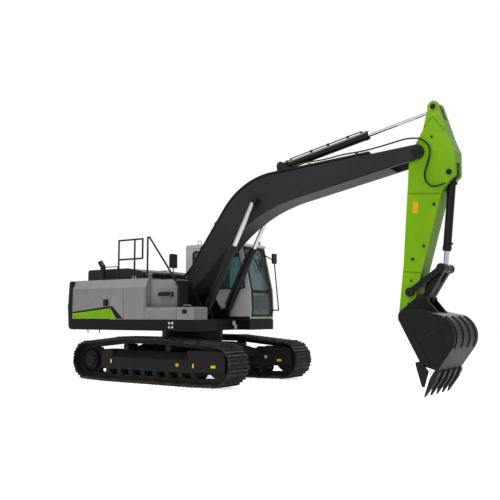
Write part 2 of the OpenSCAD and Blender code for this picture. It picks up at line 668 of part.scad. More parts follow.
// Fuel tank, boxes, rails and mirrors on the right
module fuel_tank() placed() color("Gray") {
    tank_shell();
    difference() {
        across(-tank_side - 95, -tank_side + 1) polygon(rounded([[150, 1740, 0], [500, 1740, 30], [500,
            1830, 30], [150, 1830, 30]]));
        across(-tank_side - 96, -tank_side - 8) polygon([[175, 1765], [475, 1765], [475, 1831], [175,
            1831]]);
    }
}
module tank_shell() difference() {
    translate([0, 0, deck_top]) linear_extrude(tank_top - deck_top) polygon(rounded([[house_right_x + 5,
        -tank_side, 0],
        [tank_front_x, -tank_side, 70], [tank_front_x, -tank_inner, 30], [house_right_x + 5, -tank_inner,
            0]]));
    block([house_right_x + 5 + tank_wall, -tank_side + tank_wall, deck_top + tank_wall],
        [tank_front_x - tank_wall, -tank_inner - tank_wall, tank_top - tank_wall]);
}
module tool_box() placed() color("Gray") {
    difference() {
        across(-deck_half, -tank_side) polygon(rounded([[house_right_x + 5, deck_top, 0],
            [tool_box_x - 10, deck_top, 0],
            [tool_box_x - 10, step_top, 45], [house_right_x + 5, step_top, 12]]));
        for (x = [110, 410]) block([x, -deck_half - 1, step_top - 150], [x + 190, -deck_half + 70,
            step_top - 40]);
    }
    difference() {
        block([tool_box_x, -deck_half, deck_top], [deck_right_x, -box_inner, tool_box_top]);
        block([tool_box_x + panel, -deck_half + panel, deck_top + panel],
            [deck_right_x - panel, -box_inner - panel, tool_box_top + 1]);
    }
}
module tool_box_lid() placed() color("Gray")
{
    across(-deck_half, -box_inner) polygon(rounded([[tool_box_x, tool_box_top + 0.5, 0], [deck_right_x,
        tool_box_top + 0.5, 0],
        [deck_right_x, tool_box_top + 25, 20], [tool_box_x, tool_box_top + 25, 8]]));
    tube([tool_box_x + 40, -box_inner, tool_box_top + 13], [deck_right_x - 40, -box_inner,
        tool_box_top + 13], 12);
    run([[tool_box_x + 130, -deck_half + 60, tool_box_top + 20], [tool_box_x + 130, -deck_half + 60,
        tool_box_top + 62],
        [deck_right_x - 130, -deck_half + 60, tool_box_top + 62], [deck_right_x - 130, -deck_half + 60,
            tool_box_top + 20]], 8);
}
rail_low = house_top;
rail_knee_x = 560;
module handrails() placed() color("DarkSlateGray") {
    run([[-1035, -rail_side, rail_low], [-1035, -rail_side, rail_top], [-343, -rail_side, rail_top],
        [-343, -rail_side, 2545], [-1035, -rail_side, 2545]], rail_radius);
    tube([-570, -rail_side, rail_low], [-570, -rail_side, rail_top], rail_radius);
    run([[-200, -rail_side, rail_low], [-200, -rail_side, rail_top + 20], [-150, -rail_side, rail_top + 20],
        [rail_knee_x, -rail_side, 2080], [690, -rail_side - 40, 1900], [690, -rail_side - 40, step_top]],
            rail_radius);
}
mirror_x = 560;
mirror_side = deck_half - 25;
rail_out = deck_half + 55;
function glass_plate(w, h) = rounded([[-w / 2, -h / 2, 25], [w / 2, -h / 2, 25], [w / 2, h / 2, 25],
    [-w / 2, h / 2, 25]]);
module mirrors() placed() color("DarkSlateGray") {
    run([[rail_knee_x, -rail_side - rail_radius - 13.4, 2080], [mirror_x + 30, -mirror_side, 2180],
        [mirror_x + 25, -mirror_side, 2320]], 12);
    translate([mirror_x, -mirror_side, 2440]) rotate([90, 0,
        90]) linear_extrude(50) polygon(glass_plate(190, 280));
    block([cab_front_x + 25.3, cab_left - 100, 1460], [cab_front_x + 50, cab_left - 60, 1500]);
    run([[cab_front_x + 40, cab_left - 80, 1480], [cab_front_x + 120, rail_out, 1480], [cab_brow_x + 225,
        rail_out, 2600],
        [cab_brow_x + 70, cab_left - 60, 2700]], 14);
    block([cab_brow_x + 46.5, cab_left - 85, 2680], [cab_brow_x + 80, cab_left - 45, 2720]);
    translate([cab_brow_x + 205, rail_out, 2640]) rotate([90, 0,
        90]) linear_extrude(45) polygon(glass_plate(150, 230));
}

// Cab with its roof, glass and inside
function cab_side(d) = rounded([[cab_rear_x + d, deck_top + d, 0], [cab_front_x - d, deck_top + d, 40],
    [cab_front_x + 25 - d, 1500, 0], [cab_front_x + 5 - d, 1900, 0], [cab_brow_x - d, cab_wall_top - d, 0],
    [cab_rear_x + d, cab_wall_top - d, 0]]);
cab_left = deck_half;
door_outline = [[door_rear_x, deck_top + 65], [cab_front_x - 130, deck_top + 65], [cab_front_x - 120, 1900],
    [cab_brow_x - 105, cab_wall_top - 60], [door_rear_x, cab_wall_top - 60]];
cab_door_x = door_rear_x + hinge_gap;
cab_door_outline = [[cab_door_x, deck_top + 65 + door_gap], [cab_front_x - 130 - door_gap,
    deck_top + 65 + door_gap],
    [cab_front_x - 120 - door_gap, 1900], [cab_brow_x - 105 - door_gap, cab_wall_top - 60 - door_gap],
    [cab_door_x, cab_wall_top - 60 - door_gap]];
cab_hinge_x = door_rear_x + hinge_gap / 2;
cab_hinge_z = [1480, 2620];
module cab_hinge(r, z0, z1) translate([cab_hinge_x, cab_left + hinge_out, z0]) cylinder(r = r, h = z1 - z0);
function inset(k, d) = let (m = len(k)) [for (i = [0:m - 1]) let (b = k[i],
    u = unit(k[(i + m - 1) % m] - b),
    v = unit(k[(i + 1) % m] - b)) b + (u + v) * d / abs(cross2(u, v))];
right_window = rounded([[-370, sill, 50], [cab_front_x - 115, sill, 50], [cab_brow_x - 95,
    cab_wall_top - 70, 50],
    [-370, cab_wall_top - 70, 50]], 4);
rear_window = [[cab_rear_x + pillar, sill], [door_rear_x - pillar, sill], [door_rear_x - pillar,
    cab_wall_top - 70],
    [cab_rear_x + pillar, cab_wall_top - 70]];
module screen_band(z0, z1, gap) block([700, cab_right + pillar + gap, z0 + gap], [cab_front_x + 100,
    cab_left - pillar - gap, z1 - gap]);
module cab_body() placed() color("LightGray") {
    cab_shell();
    for (z = cab_hinge_z) {
        block([cab_hinge_x - 60, cab_left - 5, z], [cab_hinge_x - 7, cab_left + hinge_out, z + 30]);
        cab_hinge(hinge_radius + 5, z, z + 30);
        cab_hinge(hinge_radius, z + 25, z + 75);
    }
}
module cab_shell() difference() {
    across(cab_right, cab_left) polygon(cab_side(0));
    across(cab_right + cab_wall, cab_left - cab_wall) polygon(cab_side(cab_wall));
    screen_band(screen_bottom, screen_bar - 20, 0);
    screen_band(screen_bar + 20, cab_wall_top - 50, 0);
    across(cab_right - 1, cab_right + cab_wall + 1) polygon(right_window);
    across(cab_left - cab_wall - 1, cab_left + 1) polygon(rear_window);
    across(cab_left - cab_wall - 1, cab_left + 1) polygon(door_outline);
    block([cab_rear_x - 1, cab_right + pillar, sill], [cab_rear_x + cab_wall + 1, cab_left - pillar,
        cab_wall_top - 70]);
}
module cab_roof() placed() color("LightGray") {
    across(cab_right - 5, cab_left) polygon(rounded([[cab_rear_x - 5, cab_wall_top, 0], [cab_brow_x + 40,
        cab_wall_top, 0],
        [cab_brow_x + 10, cab_top - 20, 30], [700, cab_top, 100], [cab_rear_x - 5, cab_top, 60]]));
    for (y = [cab_right + 150, cab_left - 150]) block([cab_brow_x - 130, y - 70, cab_top - 40],
        [cab_brow_x - 50, y + 70, cab_top + 70]);
}
module cab_glass() placed() color("LightBlue", 0.5) {
    intersection() {
        difference() {
            across(cab_right + 1, cab_left - 1) polygon(cab_side(20));
            across(cab_right, cab_left) polygon(cab_side(20 + glass));
        }
        union() {
            screen_band(screen_bottom, screen_bar - 20, 0.5);
            screen_band(screen_bar + 20, cab_wall_top - 50, 0.5);
        }
    }
    across(cab_right + 20, cab_right + 20 + glass) polygon(inset(right_window, 0.5));
    across(cab_left - 20 - glass, cab_left - 20) polygon(inset(rear_window, 0.5));
    block([cab_rear_x + 20, cab_right + pillar + 0.5, sill + 0.5],
        [cab_rear_x + 20 + glass, cab_left - pillar - 0.5, cab_wall_top - 70.5]);
}
module cab_door() placed() color("LightGray") difference() {
    union() {
        difference() {
            across(cab_left - door_thick, cab_left) polygon(cab_door_outline);
            across(cab_left - door_thick - 1, cab_left + 1) polygon(door_window);
        }
        for (z = cab_hinge_z) {
            block([cab_hinge_x, cab_left - 5, z + 31], [cab_hinge_x + 70, cab_left + hinge_out, z + 75]);
            cab_hinge(hinge_radius + 5, z + 31, z + 75);
        }
    }
    cab_hinge(hinge_radius + pin_play, 1400, 2800);
}
door_window = [[door_rear_x + pillar, 1800], [cab_front_x - 210, 1800], [cab_front_x - 205, 1920],
    [cab_brow_x - 180, cab_wall_top - 140], [door_rear_x + pillar, cab_wall_top - 140]];
module door_glass() placed() color("LightBlue", 0.5)
    across(cab_left - 20 - glass, cab_left - 20) polygon(inset(door_window, 0.5));
cab_mid = (cab_right + cab_left) / 2;
cab_floor = deck_top + cab_wall;
module seat() placed() color("DimGray") {
    block([-180, cab_mid - 190, cab_floor], [220, cab_mid + 190, 1640]);
    block([-230, cab_mid - 225, 1640], [300, cab_mid + 225, 1770]);
    across(cab_mid - 220, cab_mid + 220) polygon(rounded([[-230, 1650, 0], [-90, 1770, 20], [-200, 2330,
        40], [-330, 2330, 60]]));
    across(cab_mid - 140, cab_mid + 140) polygon(rounded([[-310, 2329, 0], [-215, 2329, 0], [-235, 2540,
        40], [-330, 2540, 40]]));
}
module consoles() placed() color("DarkSlateGray") {
    for (s = [-1, 1]) {
        block([-200, cab_mid + s * 310 - 75, cab_floor], [420, cab_mid + s * 310 + 75, 1820]);
        translate([330, cab_mid + s * 310, 1819]) cylinder(r = 22, h = 190);
    }
    for (s = [-1, 1]) {
        translate([850, cab_mid + s * 90, cab_floor]) cylinder(r = 16, h = 620);
        block([820, cab_mid + s * 90 - 60, cab_floor], [980, cab_mid + s * 90 + 60, cab_floor + 60]);
    }
}

// Boom as a hollow box with a foot, a fork for the arm and lugs for its cylinders
knee_x = boom_length * 0.38;
knee_top = [knee_x, boom_length * 0.2514];
knee_under = [boom_length * 0.388, boom_length * 0.1232];
function top_edge(d) = bend([60, 160 + d], knee_top + [0, d], [boom_length - 180, 220 + d],
    boom_length * 0.29, 14);
function under_edge(d) = bend([boom_length - 230, -140 - d], knee_under - [0, d], [90, -160 - d],
    boom_length * 0.563, 14);
function slope_of(a, b, x) = a[1] + (b[1] - a[1]) * (x - a[0]) / (b[0] - a[0]);
heel = turned([foot_radius, 0], 112);
brow = [boom_length, 0] + turned([nose_radius, 0], 70);
crown = top_edge(0);
function top_at(x) = x < knee_x ? slope_of(heel, crown[0], x) : slope_of(crown[14], brow, x);
function boom_edge(d) = concat(
    [turned([foot_radius - d, 0], 112)], top_edge(-d),
    arc([boom_length, 0], nose_radius - d, 70, -100),
    under_edge(-d),
    arc([0, 0], foot_radius - d, -60, -200));
boom_outline = [for (p = boom_edge(0)) on_boom(p)];
boom_void = [for (p = concat(top_edge(-plate),
    [[boom_length - fork_length - 40, 330 - plate], [boom_length - fork_length - 40, 20]],
    under_edge(-plate))) on_boom(p)];
boom_boss = boom_cylinder_side - boom_rod - 6;
module boom() placed() color("DimGray") {
    difference() {
        union() {
            across(-boom_half, boom_half) polygon(boom_outline);
            bar(foot[0], foot[1], foot_radius, -boom_half - 12, boom_half + 12);
            bar(nose[0], nose[1], nose_radius - 22, -boom_half - 10, boom_half + 10);
            twin() across(boom_half - 1, boom_half + 8) polygon([for (p = concat(arc([0, 0],
                foot_radius + 60, 70, -20, 6),
                [[760, 90], [700, 430], [330, 250]])) on_boom(p)]);
            bar(boom_pin[0], boom_pin[1], 95, -boom_boss, boom_boss);
            twin() across(118, 158) polygon(concat(arc(arm_base, 85, 10, 190), [for (x = [-160,
                260]) on_boom([3090 + x, 1040])]));
        }
        across(-boom_half + plate, boom_half - plate) polygon(boom_void);
        bar(foot[0], foot[1], pin_radius + pin_play, -boom_half - 20, boom_half + 20);
        bar(nose[0], nose[1], pin_radius + pin_play, -boom_half - 20, boom_half + 20);
        across(-arm_half - pin_gap, arm_half + pin_gap) polygon([for (p = [[boom_length - fork_length,
            -400], [boom_length + 300, -400],
            [boom_length + 300, 500], [boom_length - fork_length, 500]]) on_boom(p)]);
    }
    bar(foot[0], foot[1], pin_radius, -bracket_outer - 15, bracket_outer + 15);
    bar(arm_base[0], arm_base[1], pin_radius - 8, -170, 170);
}
pipe_low = 26;
pipe_high = 62;
function over_boom(d) = concat([[420, top_at(420) + d]], top_edge(d), [[boom_length - 780,
    top_at(boom_length - 780) + d]]);
function backwards(k) = [for (i = [len(k) - 1:-1:0]) k[i]];
clamp_places = [for (x = [700, 1250, 3700, 4650]) x * boom_length / 5680];
function clamp_turn(x) = atan2(top_at(x + 10) - top_at(x), 10);
module boom_pipes() placed() color("DarkSlateGray") twin() {
    for (y = [180, 225]) across(y - 20, y + 20)
        polygon([for (p = concat(over_boom(pipe_high), backwards(over_boom(pipe_low)))) on_boom(p)]);
    for (x = clamp_places) across(158, 247) polygon([for (q = [[-30, 0.3], [30, 0.3], [30,
        pipe_high + 8], [-30, pipe_high + 8]])
        on_boom([x, top_at(x)] + turned(q, clamp_turn(x)))]);
}

// Arm as a hollow box with lugs for three cylinders' pins
pin_lug = [228, 800];
arm_edge = concat(arc(pin_lug, 105, 60, 200, 8), [[75, 400], [-40, 150], [-140, -120], [-140, -230],
    [-105, 900 - arm_length]],
    arc([0, -arm_length], 125, 190, 350, 10), [[175, 470 - arm_length], [500, -660]], arc(base_lug, 105,
        -60, 20, 6),
    [base_lug + [70, 380], pin_lug + [320, -550]]);
arm_void = [[60, 330], [-20, 120], [-105, -130], [-105, -240], [-75, 910 - arm_length], [-60,
    570 - arm_length],
    [110, 570 - arm_length], [450, -700], [440, -280], [470, 150], [420, 330]];
arm_slot = [[-60, 430], [120, 430], [330, 610], [500, 560], [620, 1000], [-60, 1000]];
ear_slot = [[460, -170], [900, -170], [900, -720], [500, -720], [455, -590]];
module arm() placed() color("YellowGreen") {
    difference() {
        union() {
            across(-arm_half, arm_half) polygon([for (p = arm_edge) on_arm(p)]);
            for (q = [arm_pin, bucket_base]) bar(q[0], q[1], pin_radius + 24, -arm_half - 8, arm_half + 8);
        }
        across(-arm_half + plate, arm_half - plate) polygon([for (p = arm_void) on_arm(p)]);
        across(-80, 80) polygon([for (p = arm_slot) on_arm(p)]);
        across(-90, 90) polygon([for (p = ear_slot) on_arm(p)]);
    }
    bar(nose[0], nose[1], pin_radius, -boom_half - 12, boom_half + 12);
    bar(arm_pin[0], arm_pin[1], pin_radius - 8, -arm_half - 10, -81);
    bar(arm_pin[0], arm_pin[1], pin_radius - 8, 81, arm_half + 10);
    bar(bucket_base[0], bucket_base[1], pin_radius - 8, -arm_half - 10, arm_half + 10);
    bar(tipping_pin[0], tipping_pin[1], pin_radius - 10, -arm_half - 70, arm_half + 70);
    bar(tip[0], tip[1], pin_radius - 8, -ear_half - ear_plate - 12, ear_half + ear_plate + 12);
}

// Bucket with ears, an open mouth and teeth
function at_tip(p) = [tip[0] + p[0], tip[1] + p[1]];
lip = [700, -890];
function shell(d) = concat([[440, -815]], [lip], arc(back_mid, back_radius - d, -33, 68, 12), [[310,
    120 - d]], [[70, 70 - d]], [[40, -40]]);
bucket_half = bucket_width / 2;
module bucket() placed() color("DarkSlateGray") {
    difference() {
        across(-bucket_half, bucket_half) polygon([for (p = shell(0)) at_tip(p)]);
        across(-bucket_half + bucket_plate, bucket_half - bucket_plate) polygon([for (p = concat([[300,
            -1000], [660, -930], [680, -850]],
            arc(back_mid, back_radius - bucket_plate, -33, 68, 12), [[310, 95], [110, 45], [90, -60], [0,
                -200]])) at_tip(p)]);
        bar(tip[0], tip[1], 195, -ear_half, ear_half);
    }
    difference() {
        twin() across(ear_half, ear_half + ear_plate) polygon([for (p = concat(arc([0, 0], 115, 130, 290),
            [[300, 60], [640, 20]], arc(ear_lug, 95, -5, 120))) at_tip(p)]);
        bar(tip[0], tip[1], pin_radius - 8 + pin_play, -ear_half - ear_plate - 1, ear_half + ear_plate + 1);
    }
    twin() bar(ear_pin[0], ear_pin[1], pin_radius - 8, arm_half - 10 + pin_gap, ear_half + ear_plate + 12);
    twin() across(bucket_half - 5, bucket_half + 14) polygon([for (p = [[40, -40], [150, 10], [560,
        -760], [440, -815]]) at_tip(p)]);
    twin() across(bucket_half - 5, bucket_half + 12) polygon([for (p = concat(arc(back_mid,
        back_radius - 2, -33, 20, 6),
        backwards(arc(back_mid, back_radius - 110, -33, 20, 6)))) at_tip(p)]);
    for (i = [0:3]) across((i - 1.5) * bucket_width * 0.27 - 40,
        (i - 1.5) * bucket_width * 0.27 + 40) polygon([for (p = concat(
        arc(back_mid, back_radius + 16, -30, 60, 10), backwards(arc(back_mid, back_radius - 8, -30, 60,
            10)))) at_tip(p)]);
    twin() across(bucket_half - 5, bucket_half + 25) polygon([for (p = [[360, -890], [440, -1160], [480,
        -1160], [560, -900],
        [420, -740], [330, -760]]) at_tip(p)]);
}
module bucket_teeth() placed() color("Gray") {
    way = unit([-240, -435]);
    side = [way[1], -way[0]];
    for (i = [0:tooth_count - 1]) {
        y = (i / (tooth_count - 1) - 0.5) * (bucket_width - tooth_width);
        across(y - tooth_width / 2, y + tooth_width / 2) polygon([for (p = [[10.6, 45], [130, 55], [210,
            36], [210, -30],
            [130, -42], [0.3, -34], [0.3, 0]]) at_tip(lip + p[0] * way + p[1] * side)]);
        across(y - tooth_width * 0.38, y + tooth_width * 0.38) polygon([for (p = [[150, 62], [200, 58],
            [tooth_length, 6],
            [tooth_length, -6], [200, -46], [150, -50]]) at_tip(lip + p[0] * way + p[1] * side)]);
    }
}

// Cylinders, drawn along +X from the base pin
module barrel(length, r, rod, eye, width) {
    difference() {
        union() {
            bar(0, 0, eye, -width / 2, width / 2);
            translate([eye - 20, 0, 0]) rotate([0, 90, 0]) cylinder(r = width / 2 - 2, h = 60);
            translate([eye + 30, 0, 0]) rotate([0, 90, 0]) cylinder(r = r, h = length - eye - 30);
            translate([length - 85, 0, 0]) rotate([0, 90, 0]) cylinder(r = r + 7, h = 60);
            translate([length - 26, 0, 0]) rotate([0, 90, 0]) cylinder(r1 = r + 7, r2 = r - 6, h = 26);
            translate([eye + 25, 0, 0]) rotate([0, 90, 0]) cylinder(r1 = r - 14, r2 = r + 3, h = 40);
            for (x = [eye + 95, length - 130]) translate([x, 0, 0]) cylinder(r = 24, h = r + 22);
        }
        translate([eye + 55, 0, 0]) rotate([0, 90, 0]) cylinder(r = r - tube_wall,
            h = length - eye - 55 - 70);
        translate([eye + 55, 0, 0]) rotate([0, 90, 0]) cylinder(r = rod + rod_play, h = length);
        bar(0, 0, pin_radius - 8 + pin_play, -width, width);
    }
}
module rod(length, r, eye, width) {
    bar(0, 0, eye, -width / 2, width / 2);
    translate([-length, 0, 0]) rotate([0, 90, 0]) cylinder(r = r, h = length - eye / 2);
}
function slope(a, b) = atan2(b[1] - a[1], b[0] - a[0]);
module aimed(a, b, y = 0) translate([a[0], y, a[1]]) rotate([0, -slope(a, b), 0]) children();
module boom_cylinders() placed() color("DarkSlateGray") for (y = [-boom_cylinder_side,
    boom_cylinder_side]) difference() {
    aimed(boom_base, boom_pin, y) barrel(boom_parked - boom_rod_shown, boom_barrel, boom_rod, 80, 60);
    bar(boom_base[0], boom_base[1], pin_radius + pin_play, y - 60, y + 60);
}
module boom_rods() placed() color("Silver") for (y = [-boom_cylinder_side, boom_cylinder_side])
    translate([boom_pin[0] - boom_base[0], 0, boom_pin[1] - boom_base[1]])
    aimed(boom_base, boom_pin, y) rod(boom_parked - boom_rod_gap, boom_rod, 80, 58);
module arm_cylinder() placed() color("DarkSlateGray") aimed(arm_base,
    arm_pin) barrel(arm_parked - arm_rod_shown, arm_barrel, arm_rod_radius, 85, 220);
module arm_rod() placed() color("Silver") translate([arm_pin[0] - arm_base[0], 0, arm_pin[1] - arm_base[1]])
    aimed(arm_base, arm_pin) rod(arm_parked - arm_rod_gap, arm_rod_radius, 85, 140);
module bucket_cylinder() placed() color("DarkSlateGray") aimed(bucket_base,
    rod_pin) barrel(bucket_parked - bucket_rod_shown, bucket_barrel, bucket_rod_radius, 80, 160);
module bucket_rod() placed() color("Silver") translate([rod_pin[0] - bucket_base[0], 0,
    rod_pin[1] - bucket_base[1]])
    aimed(bucket_base, rod_pin) rod(bucket_parked - bucket_rod_gap, bucket_rod_radius, 75, 110);

// Links between the arm, the bucket cylinder and the bucket
module strap(a, b, ra, rb, w) {
    u = unit(b - a);
    n = [-u[1], u[0]];
    polygon(concat([a + n * w, a - n * w], [b - n * w, b + n * w]));
    translate(a) circle(r = ra);
    translate(b) circle(r = rb);
}
tipping_inner = arm_half + pin_gap;
module tipping_links() placed() color("DarkSlateGray") difference() {
    union() {
        twin() across(tipping_inner, tipping_inner + tipping_plate) strap(tipping_pin, rod_pin, 80, 80, 50);
        twin() bar(rod_pin[0], rod_pin[1], pin_radius - 10, 72, tipping_inner + tipping_plate + 14);
    }
    bar(tipping_pin[0], tipping_pin[1], pin_radius - 10 + pin_play, -tipping_inner - tipping_plate - 1,
        tipping_inner + tipping_plate + 1);
}
module bucket_link() placed() color("DarkSlateGray") difference() {
    union() {
        twin() across(70, arm_half - 10) strap(ear_pin, rod_pin, 75, 75, 55);
        across(-71, 71) strap(ear_pin + 0.12 * (rod_pin - ear_pin), ear_pin + 0.6 * (rod_pin - ear_pin),
            10, 10, 45);
    }
    bar(rod_pin[0], rod_pin[1], pin_radius - 10 + pin_play, -arm_half, arm_half);
}

carbody();
swing_ring();
track_frame_right();
track_frame_left();
final_drives();
idlers();
rollers();
track_right();
track_left();
main_frame();
counterweight();
engine();
right_housing();
left_housing();
fuel_tank();
tool_box();
handrails();
mirrors();
exhaust_pipe();
cab_body();
cab_roof();
cab_glass();
seat();
consoles();
engine_hood();
pump_door();
cooler_door();
service_door();
tool_box_lid();
cab_door();
door_glass();
boom();
boom_pipes();
arm();
bucket();
bucket_teeth();
boom_cylinders();
boom_rods();
arm_cylinder();
arm_rod();
bucket_cylinder();
bucket_rod();
tipping_links();
bucket_link();
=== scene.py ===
"""Dresses the solids of a crawler excavator with finishes and fittings, and sets it on a pale studio floor."""
import json
import math

import bpy
from bpy.props import FloatProperty, FloatVectorProperty, PointerProperty
from mathutils import Matrix, Vector


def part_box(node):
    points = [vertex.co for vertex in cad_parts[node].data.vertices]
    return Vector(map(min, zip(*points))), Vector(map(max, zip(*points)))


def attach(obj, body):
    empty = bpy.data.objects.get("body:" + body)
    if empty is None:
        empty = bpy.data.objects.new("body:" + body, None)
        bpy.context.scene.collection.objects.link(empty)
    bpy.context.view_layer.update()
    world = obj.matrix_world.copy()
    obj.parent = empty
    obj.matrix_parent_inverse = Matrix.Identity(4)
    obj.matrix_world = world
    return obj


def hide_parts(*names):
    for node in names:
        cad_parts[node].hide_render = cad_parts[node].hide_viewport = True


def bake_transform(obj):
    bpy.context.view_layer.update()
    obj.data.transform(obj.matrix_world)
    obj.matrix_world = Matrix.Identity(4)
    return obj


bl_info = {
    "name": "Crawler Excavator",
    "version": (1, 0, 0),
    "blender": (4, 5, 0),
    "location": "View3D > Sidebar > Excavator",
    "description": "Finishes and fittings of a crawler excavator",
    "category": "Object",
}

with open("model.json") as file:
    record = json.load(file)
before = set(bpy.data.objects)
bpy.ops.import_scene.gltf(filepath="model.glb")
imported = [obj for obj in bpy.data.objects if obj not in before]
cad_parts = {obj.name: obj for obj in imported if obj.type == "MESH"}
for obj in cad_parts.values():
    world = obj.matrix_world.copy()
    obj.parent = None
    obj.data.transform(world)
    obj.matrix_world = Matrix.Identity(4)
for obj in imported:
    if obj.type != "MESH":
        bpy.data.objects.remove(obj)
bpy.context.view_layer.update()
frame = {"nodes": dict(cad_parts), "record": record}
JOINTS = {j["name"]: j for j in frame["record"]["behaviour"]["joints"]}
SWING_X = JOINTS["swing"]["pos_m"][0]
UP, DOWN, RIGHT = (0, 0, 1), (0, 0, -1), (0, -1, 0)
SIDES = ((-1, "right"), (1, "left"))
SQUARE = ((-1, -1), (1, -1), (1, 1), (-1, 1))

# Faces and middles of the solids, as distances in metres from the machine's middle plane.
# SIDE is the outer face of the housings, the doors and the cab.
SIDE = 1.355
CAB_RIGHT = 0.445
ARM_SIDE = 0.19
BUCKET_SIDE = 0.62
BOOM_CYLINDERS = (-0.355, 0.355)
TRACK_MIDDLE, FRAME_HALF = 1.19, 0.19
# Radius of the counterweight's rear about the swing axis
TAIL_RADIUS = 2.83
# Pins at the rods' eyes, ahead of the swing axis and above the ground
BOOM_EYE, ARM_EYE, BUCKET_EYE = (1.85557, 3.67088), (5.55594, 5.00700), (5.63833, 2.17062)
# Lean of the arm as parked, and the seam of its head's doubler measured from the arm's pin
ARM_LEAN = 5.6
NOSE_SEAM = [(0.085, 0.420), (0.150, 0.530), (0.232, 0.645), (0.340, 0.500), (0.488, 0.345)]


def at(x, y, z):
    """A point given ahead of the swing axis, in metres of the frame."""
    return Vector((x + SWING_X, y, z))


def upright(y, points):
    """Points of a side view, set in an upright plane."""
    return [at(x, y, z) for x, z in points]


def pin(joint):
    return Vector(JOINTS[joint]["pos_m"])


def colour(name, text, value):
    return FloatVectorProperty(name=name, description=text, subtype="COLOR", size=3, min=0, max=1, default=value)


def amount(name, text, value, unit="NONE"):
    return FloatProperty(name=name, description=text, unit=unit, min=0, default=value)


def length(name, text, value):
    return amount(name, text, value, "LENGTH")


class ExcavatorPaint(bpy.types.PropertyGroup):
    """Colours of the finishes."""
    # Painted sheen: the engine hood is black, and takes this lighter charcoal to stand in for the sheen along its top.
    charcoal: colour("Charcoal", "Boom and engine hood", (0.021, 0.0218, 0.0242))
    lime: colour("Lime", "Arm and side stripes", (0.175, 0.385, 0.003))
    panel: colour("Panel grey", "Side housings, tank and boxes", (0.215, 0.215, 0.21))
    cab: colour("Cab grey", "Cab shell, roof and door", (0.44, 0.44, 0.43))
    black: colour("Black", "Counterweight, rails and cylinders", (0.009, 0.0092, 0.010))
    # Painted shade: a copy of the black paint made darker than paint can be, standing in for shade on the upper frame
    # and its skirt.
    skirt: colour("Skirt black", "Upper frame and its skirt", (0.005, 0.0051, 0.0055))
    track: colour("Track steel", "Shoes and chains", (0.011, 0.0102, 0.0095))
    chassis: colour("Undercarriage black", "Track frames and carbody", (0.009, 0.0092, 0.010))
    bucket: colour("Bucket black", "Bucket and its links", (0.010, 0.0103, 0.0108))
    steel: colour("Bare steel", "Edges where paint is worn off", (0.30, 0.29, 0.28))
    soil: colour("Dry soil", "Dust on flat and low places", (0.20, 0.16, 0.115))
    amber: colour("Amber", "Blank plates", (0.80, 0.36, 0.015))
    yellow: colour("Yellow", "Blank plates of the undercarriage", (0.80, 0.58, 0.02))
    glass: colour("Glass", "Tinted cab windows", (0.20, 0.32, 0.315))


class ExcavatorSizes(bpy.types.PropertyGroup):
    """Sizes of the fittings."""
    bolt: length("Bolt", "Radius of a large bolt head", 0.017)
    small_bolt: length("Small bolt", "Radius of a small bolt head", 0.010)
    hose: length("Hose", "Radius of a hydraulic hose", 0.017)
    pipe: length("Pipe", "Radius of a steel pipe on a cylinder", 0.013)
    seal: length("Seal", "Radius of a window's rubber seal", 0.014)
    film: length("Film", "Thickness of a stripe or blank plate", 0.0015)


class ExcavatorStage(bpy.types.PropertyGroup):
    """Light, floor and camera."""
    floor: colour("Floor", "Pale studio floor", (0.90, 0.90, 0.90))
    glow: amount("Floor glow", "Light of the floor as the camera sees it", 0.72)
    world: amount("World", "Light from all round", 0.36)
    key: amount("Key lamp", "Power of the large lamp at the front", 430, "POWER")
    fill: amount("Fill lamp", "Power of the lamp at the far side", 260, "POWER")
    top: amount("Top lamp", "Power of the lamp above", 1350, "POWER")
    lens: amount("Lens", "Focal length of the camera in millimetres", 49.47, "CAMERA")


# Shader groups and materials

FLOAT, TINT, VECTOR = "NodeSocketFloat", "NodeSocketColor", "NodeSocketVector"
GROUP_OUTPUTS = (("Color", TINT), ("Roughness", FLOAT), ("Height", FLOAT))


def feed(tree, socket, value):
    """Sets a socket, or links it where the value is a socket itself."""
    if isinstance(value, bpy.types.NodeSocket):
        tree.links.new(value, socket)
    else:
        socket.default_value = value


def fill(tree, node, sockets):
    """Feeds a node's inputs by their names."""
    for key, value in sockets.items():
        feed(tree, node.inputs[key.replace("_", " ")], value)
    return node


def add(tree, kind, **sockets):
    return fill(tree, tree.nodes.new(kind), sockets)


def maths(tree, what, a, b):
    node = tree.nodes.new("ShaderNodeMath")
    node.operation = what
    node.use_clamp = what in {"MULTIPLY", "ADD"}
    for socket, value in zip(node.inputs, (a, b)):
        feed(tree, socket, value)
    return node.outputs[0]


def times(tree, a, b):
    return maths(tree, "MULTIPLY", a, b)


def plus(tree, a, b):
    return maths(tree, "ADD", a, b)


def ramp(tree, value, low, high, to_low=0.0, to_high=1.0):
    node = add(tree, "ShaderNodeMapRange", Value=value, From_Min=low, From_Max=high, To_Min=to_low, To_Max=to_high)
    return node.outputs["Result"]


def mix(tree, factor, a, b):
    node = tree.nodes.new("ShaderNodeMix")
    node.data_type = "RGBA"
    for socket, value in zip((node.inputs[0], node.inputs[6], node.inputs[7]), (factor, a, b)):
        feed(tree, socket, value)
    return node.outputs[2]


def noise(tree, vector, scale, detail=4.0):
    return add(tree, "ShaderNodeTexNoise", Vector=vector, Scale=scale, Detail=detail, Roughness=0.55).outputs[0]


def group(name, inputs):
    """A shader group with named inputs and the common outputs, and the sockets inside it for both."""
    tree = bpy.data.node_groups.new(name, "ShaderNodeTree")
    for label, kind, value in inputs:
        socket = tree.interface.new_socket(label, in_out="INPUT", socket_type=kind)
        if value is not None:
            socket.default_value = value
    for label, kind in GROUP_OUTPUTS:
        tree.interface.new_socket(label, in_out="OUTPUT", socket_type=kind)
    return tree, tree.nodes.new("NodeGroupInput").outputs, tree.nodes.new("NodeGroupOutput").inputs


def give(tree, out, *values):
    """Links a group's outputs in their order."""
    for socket, value in zip(out, values):
        tree.links.new(value, socket)


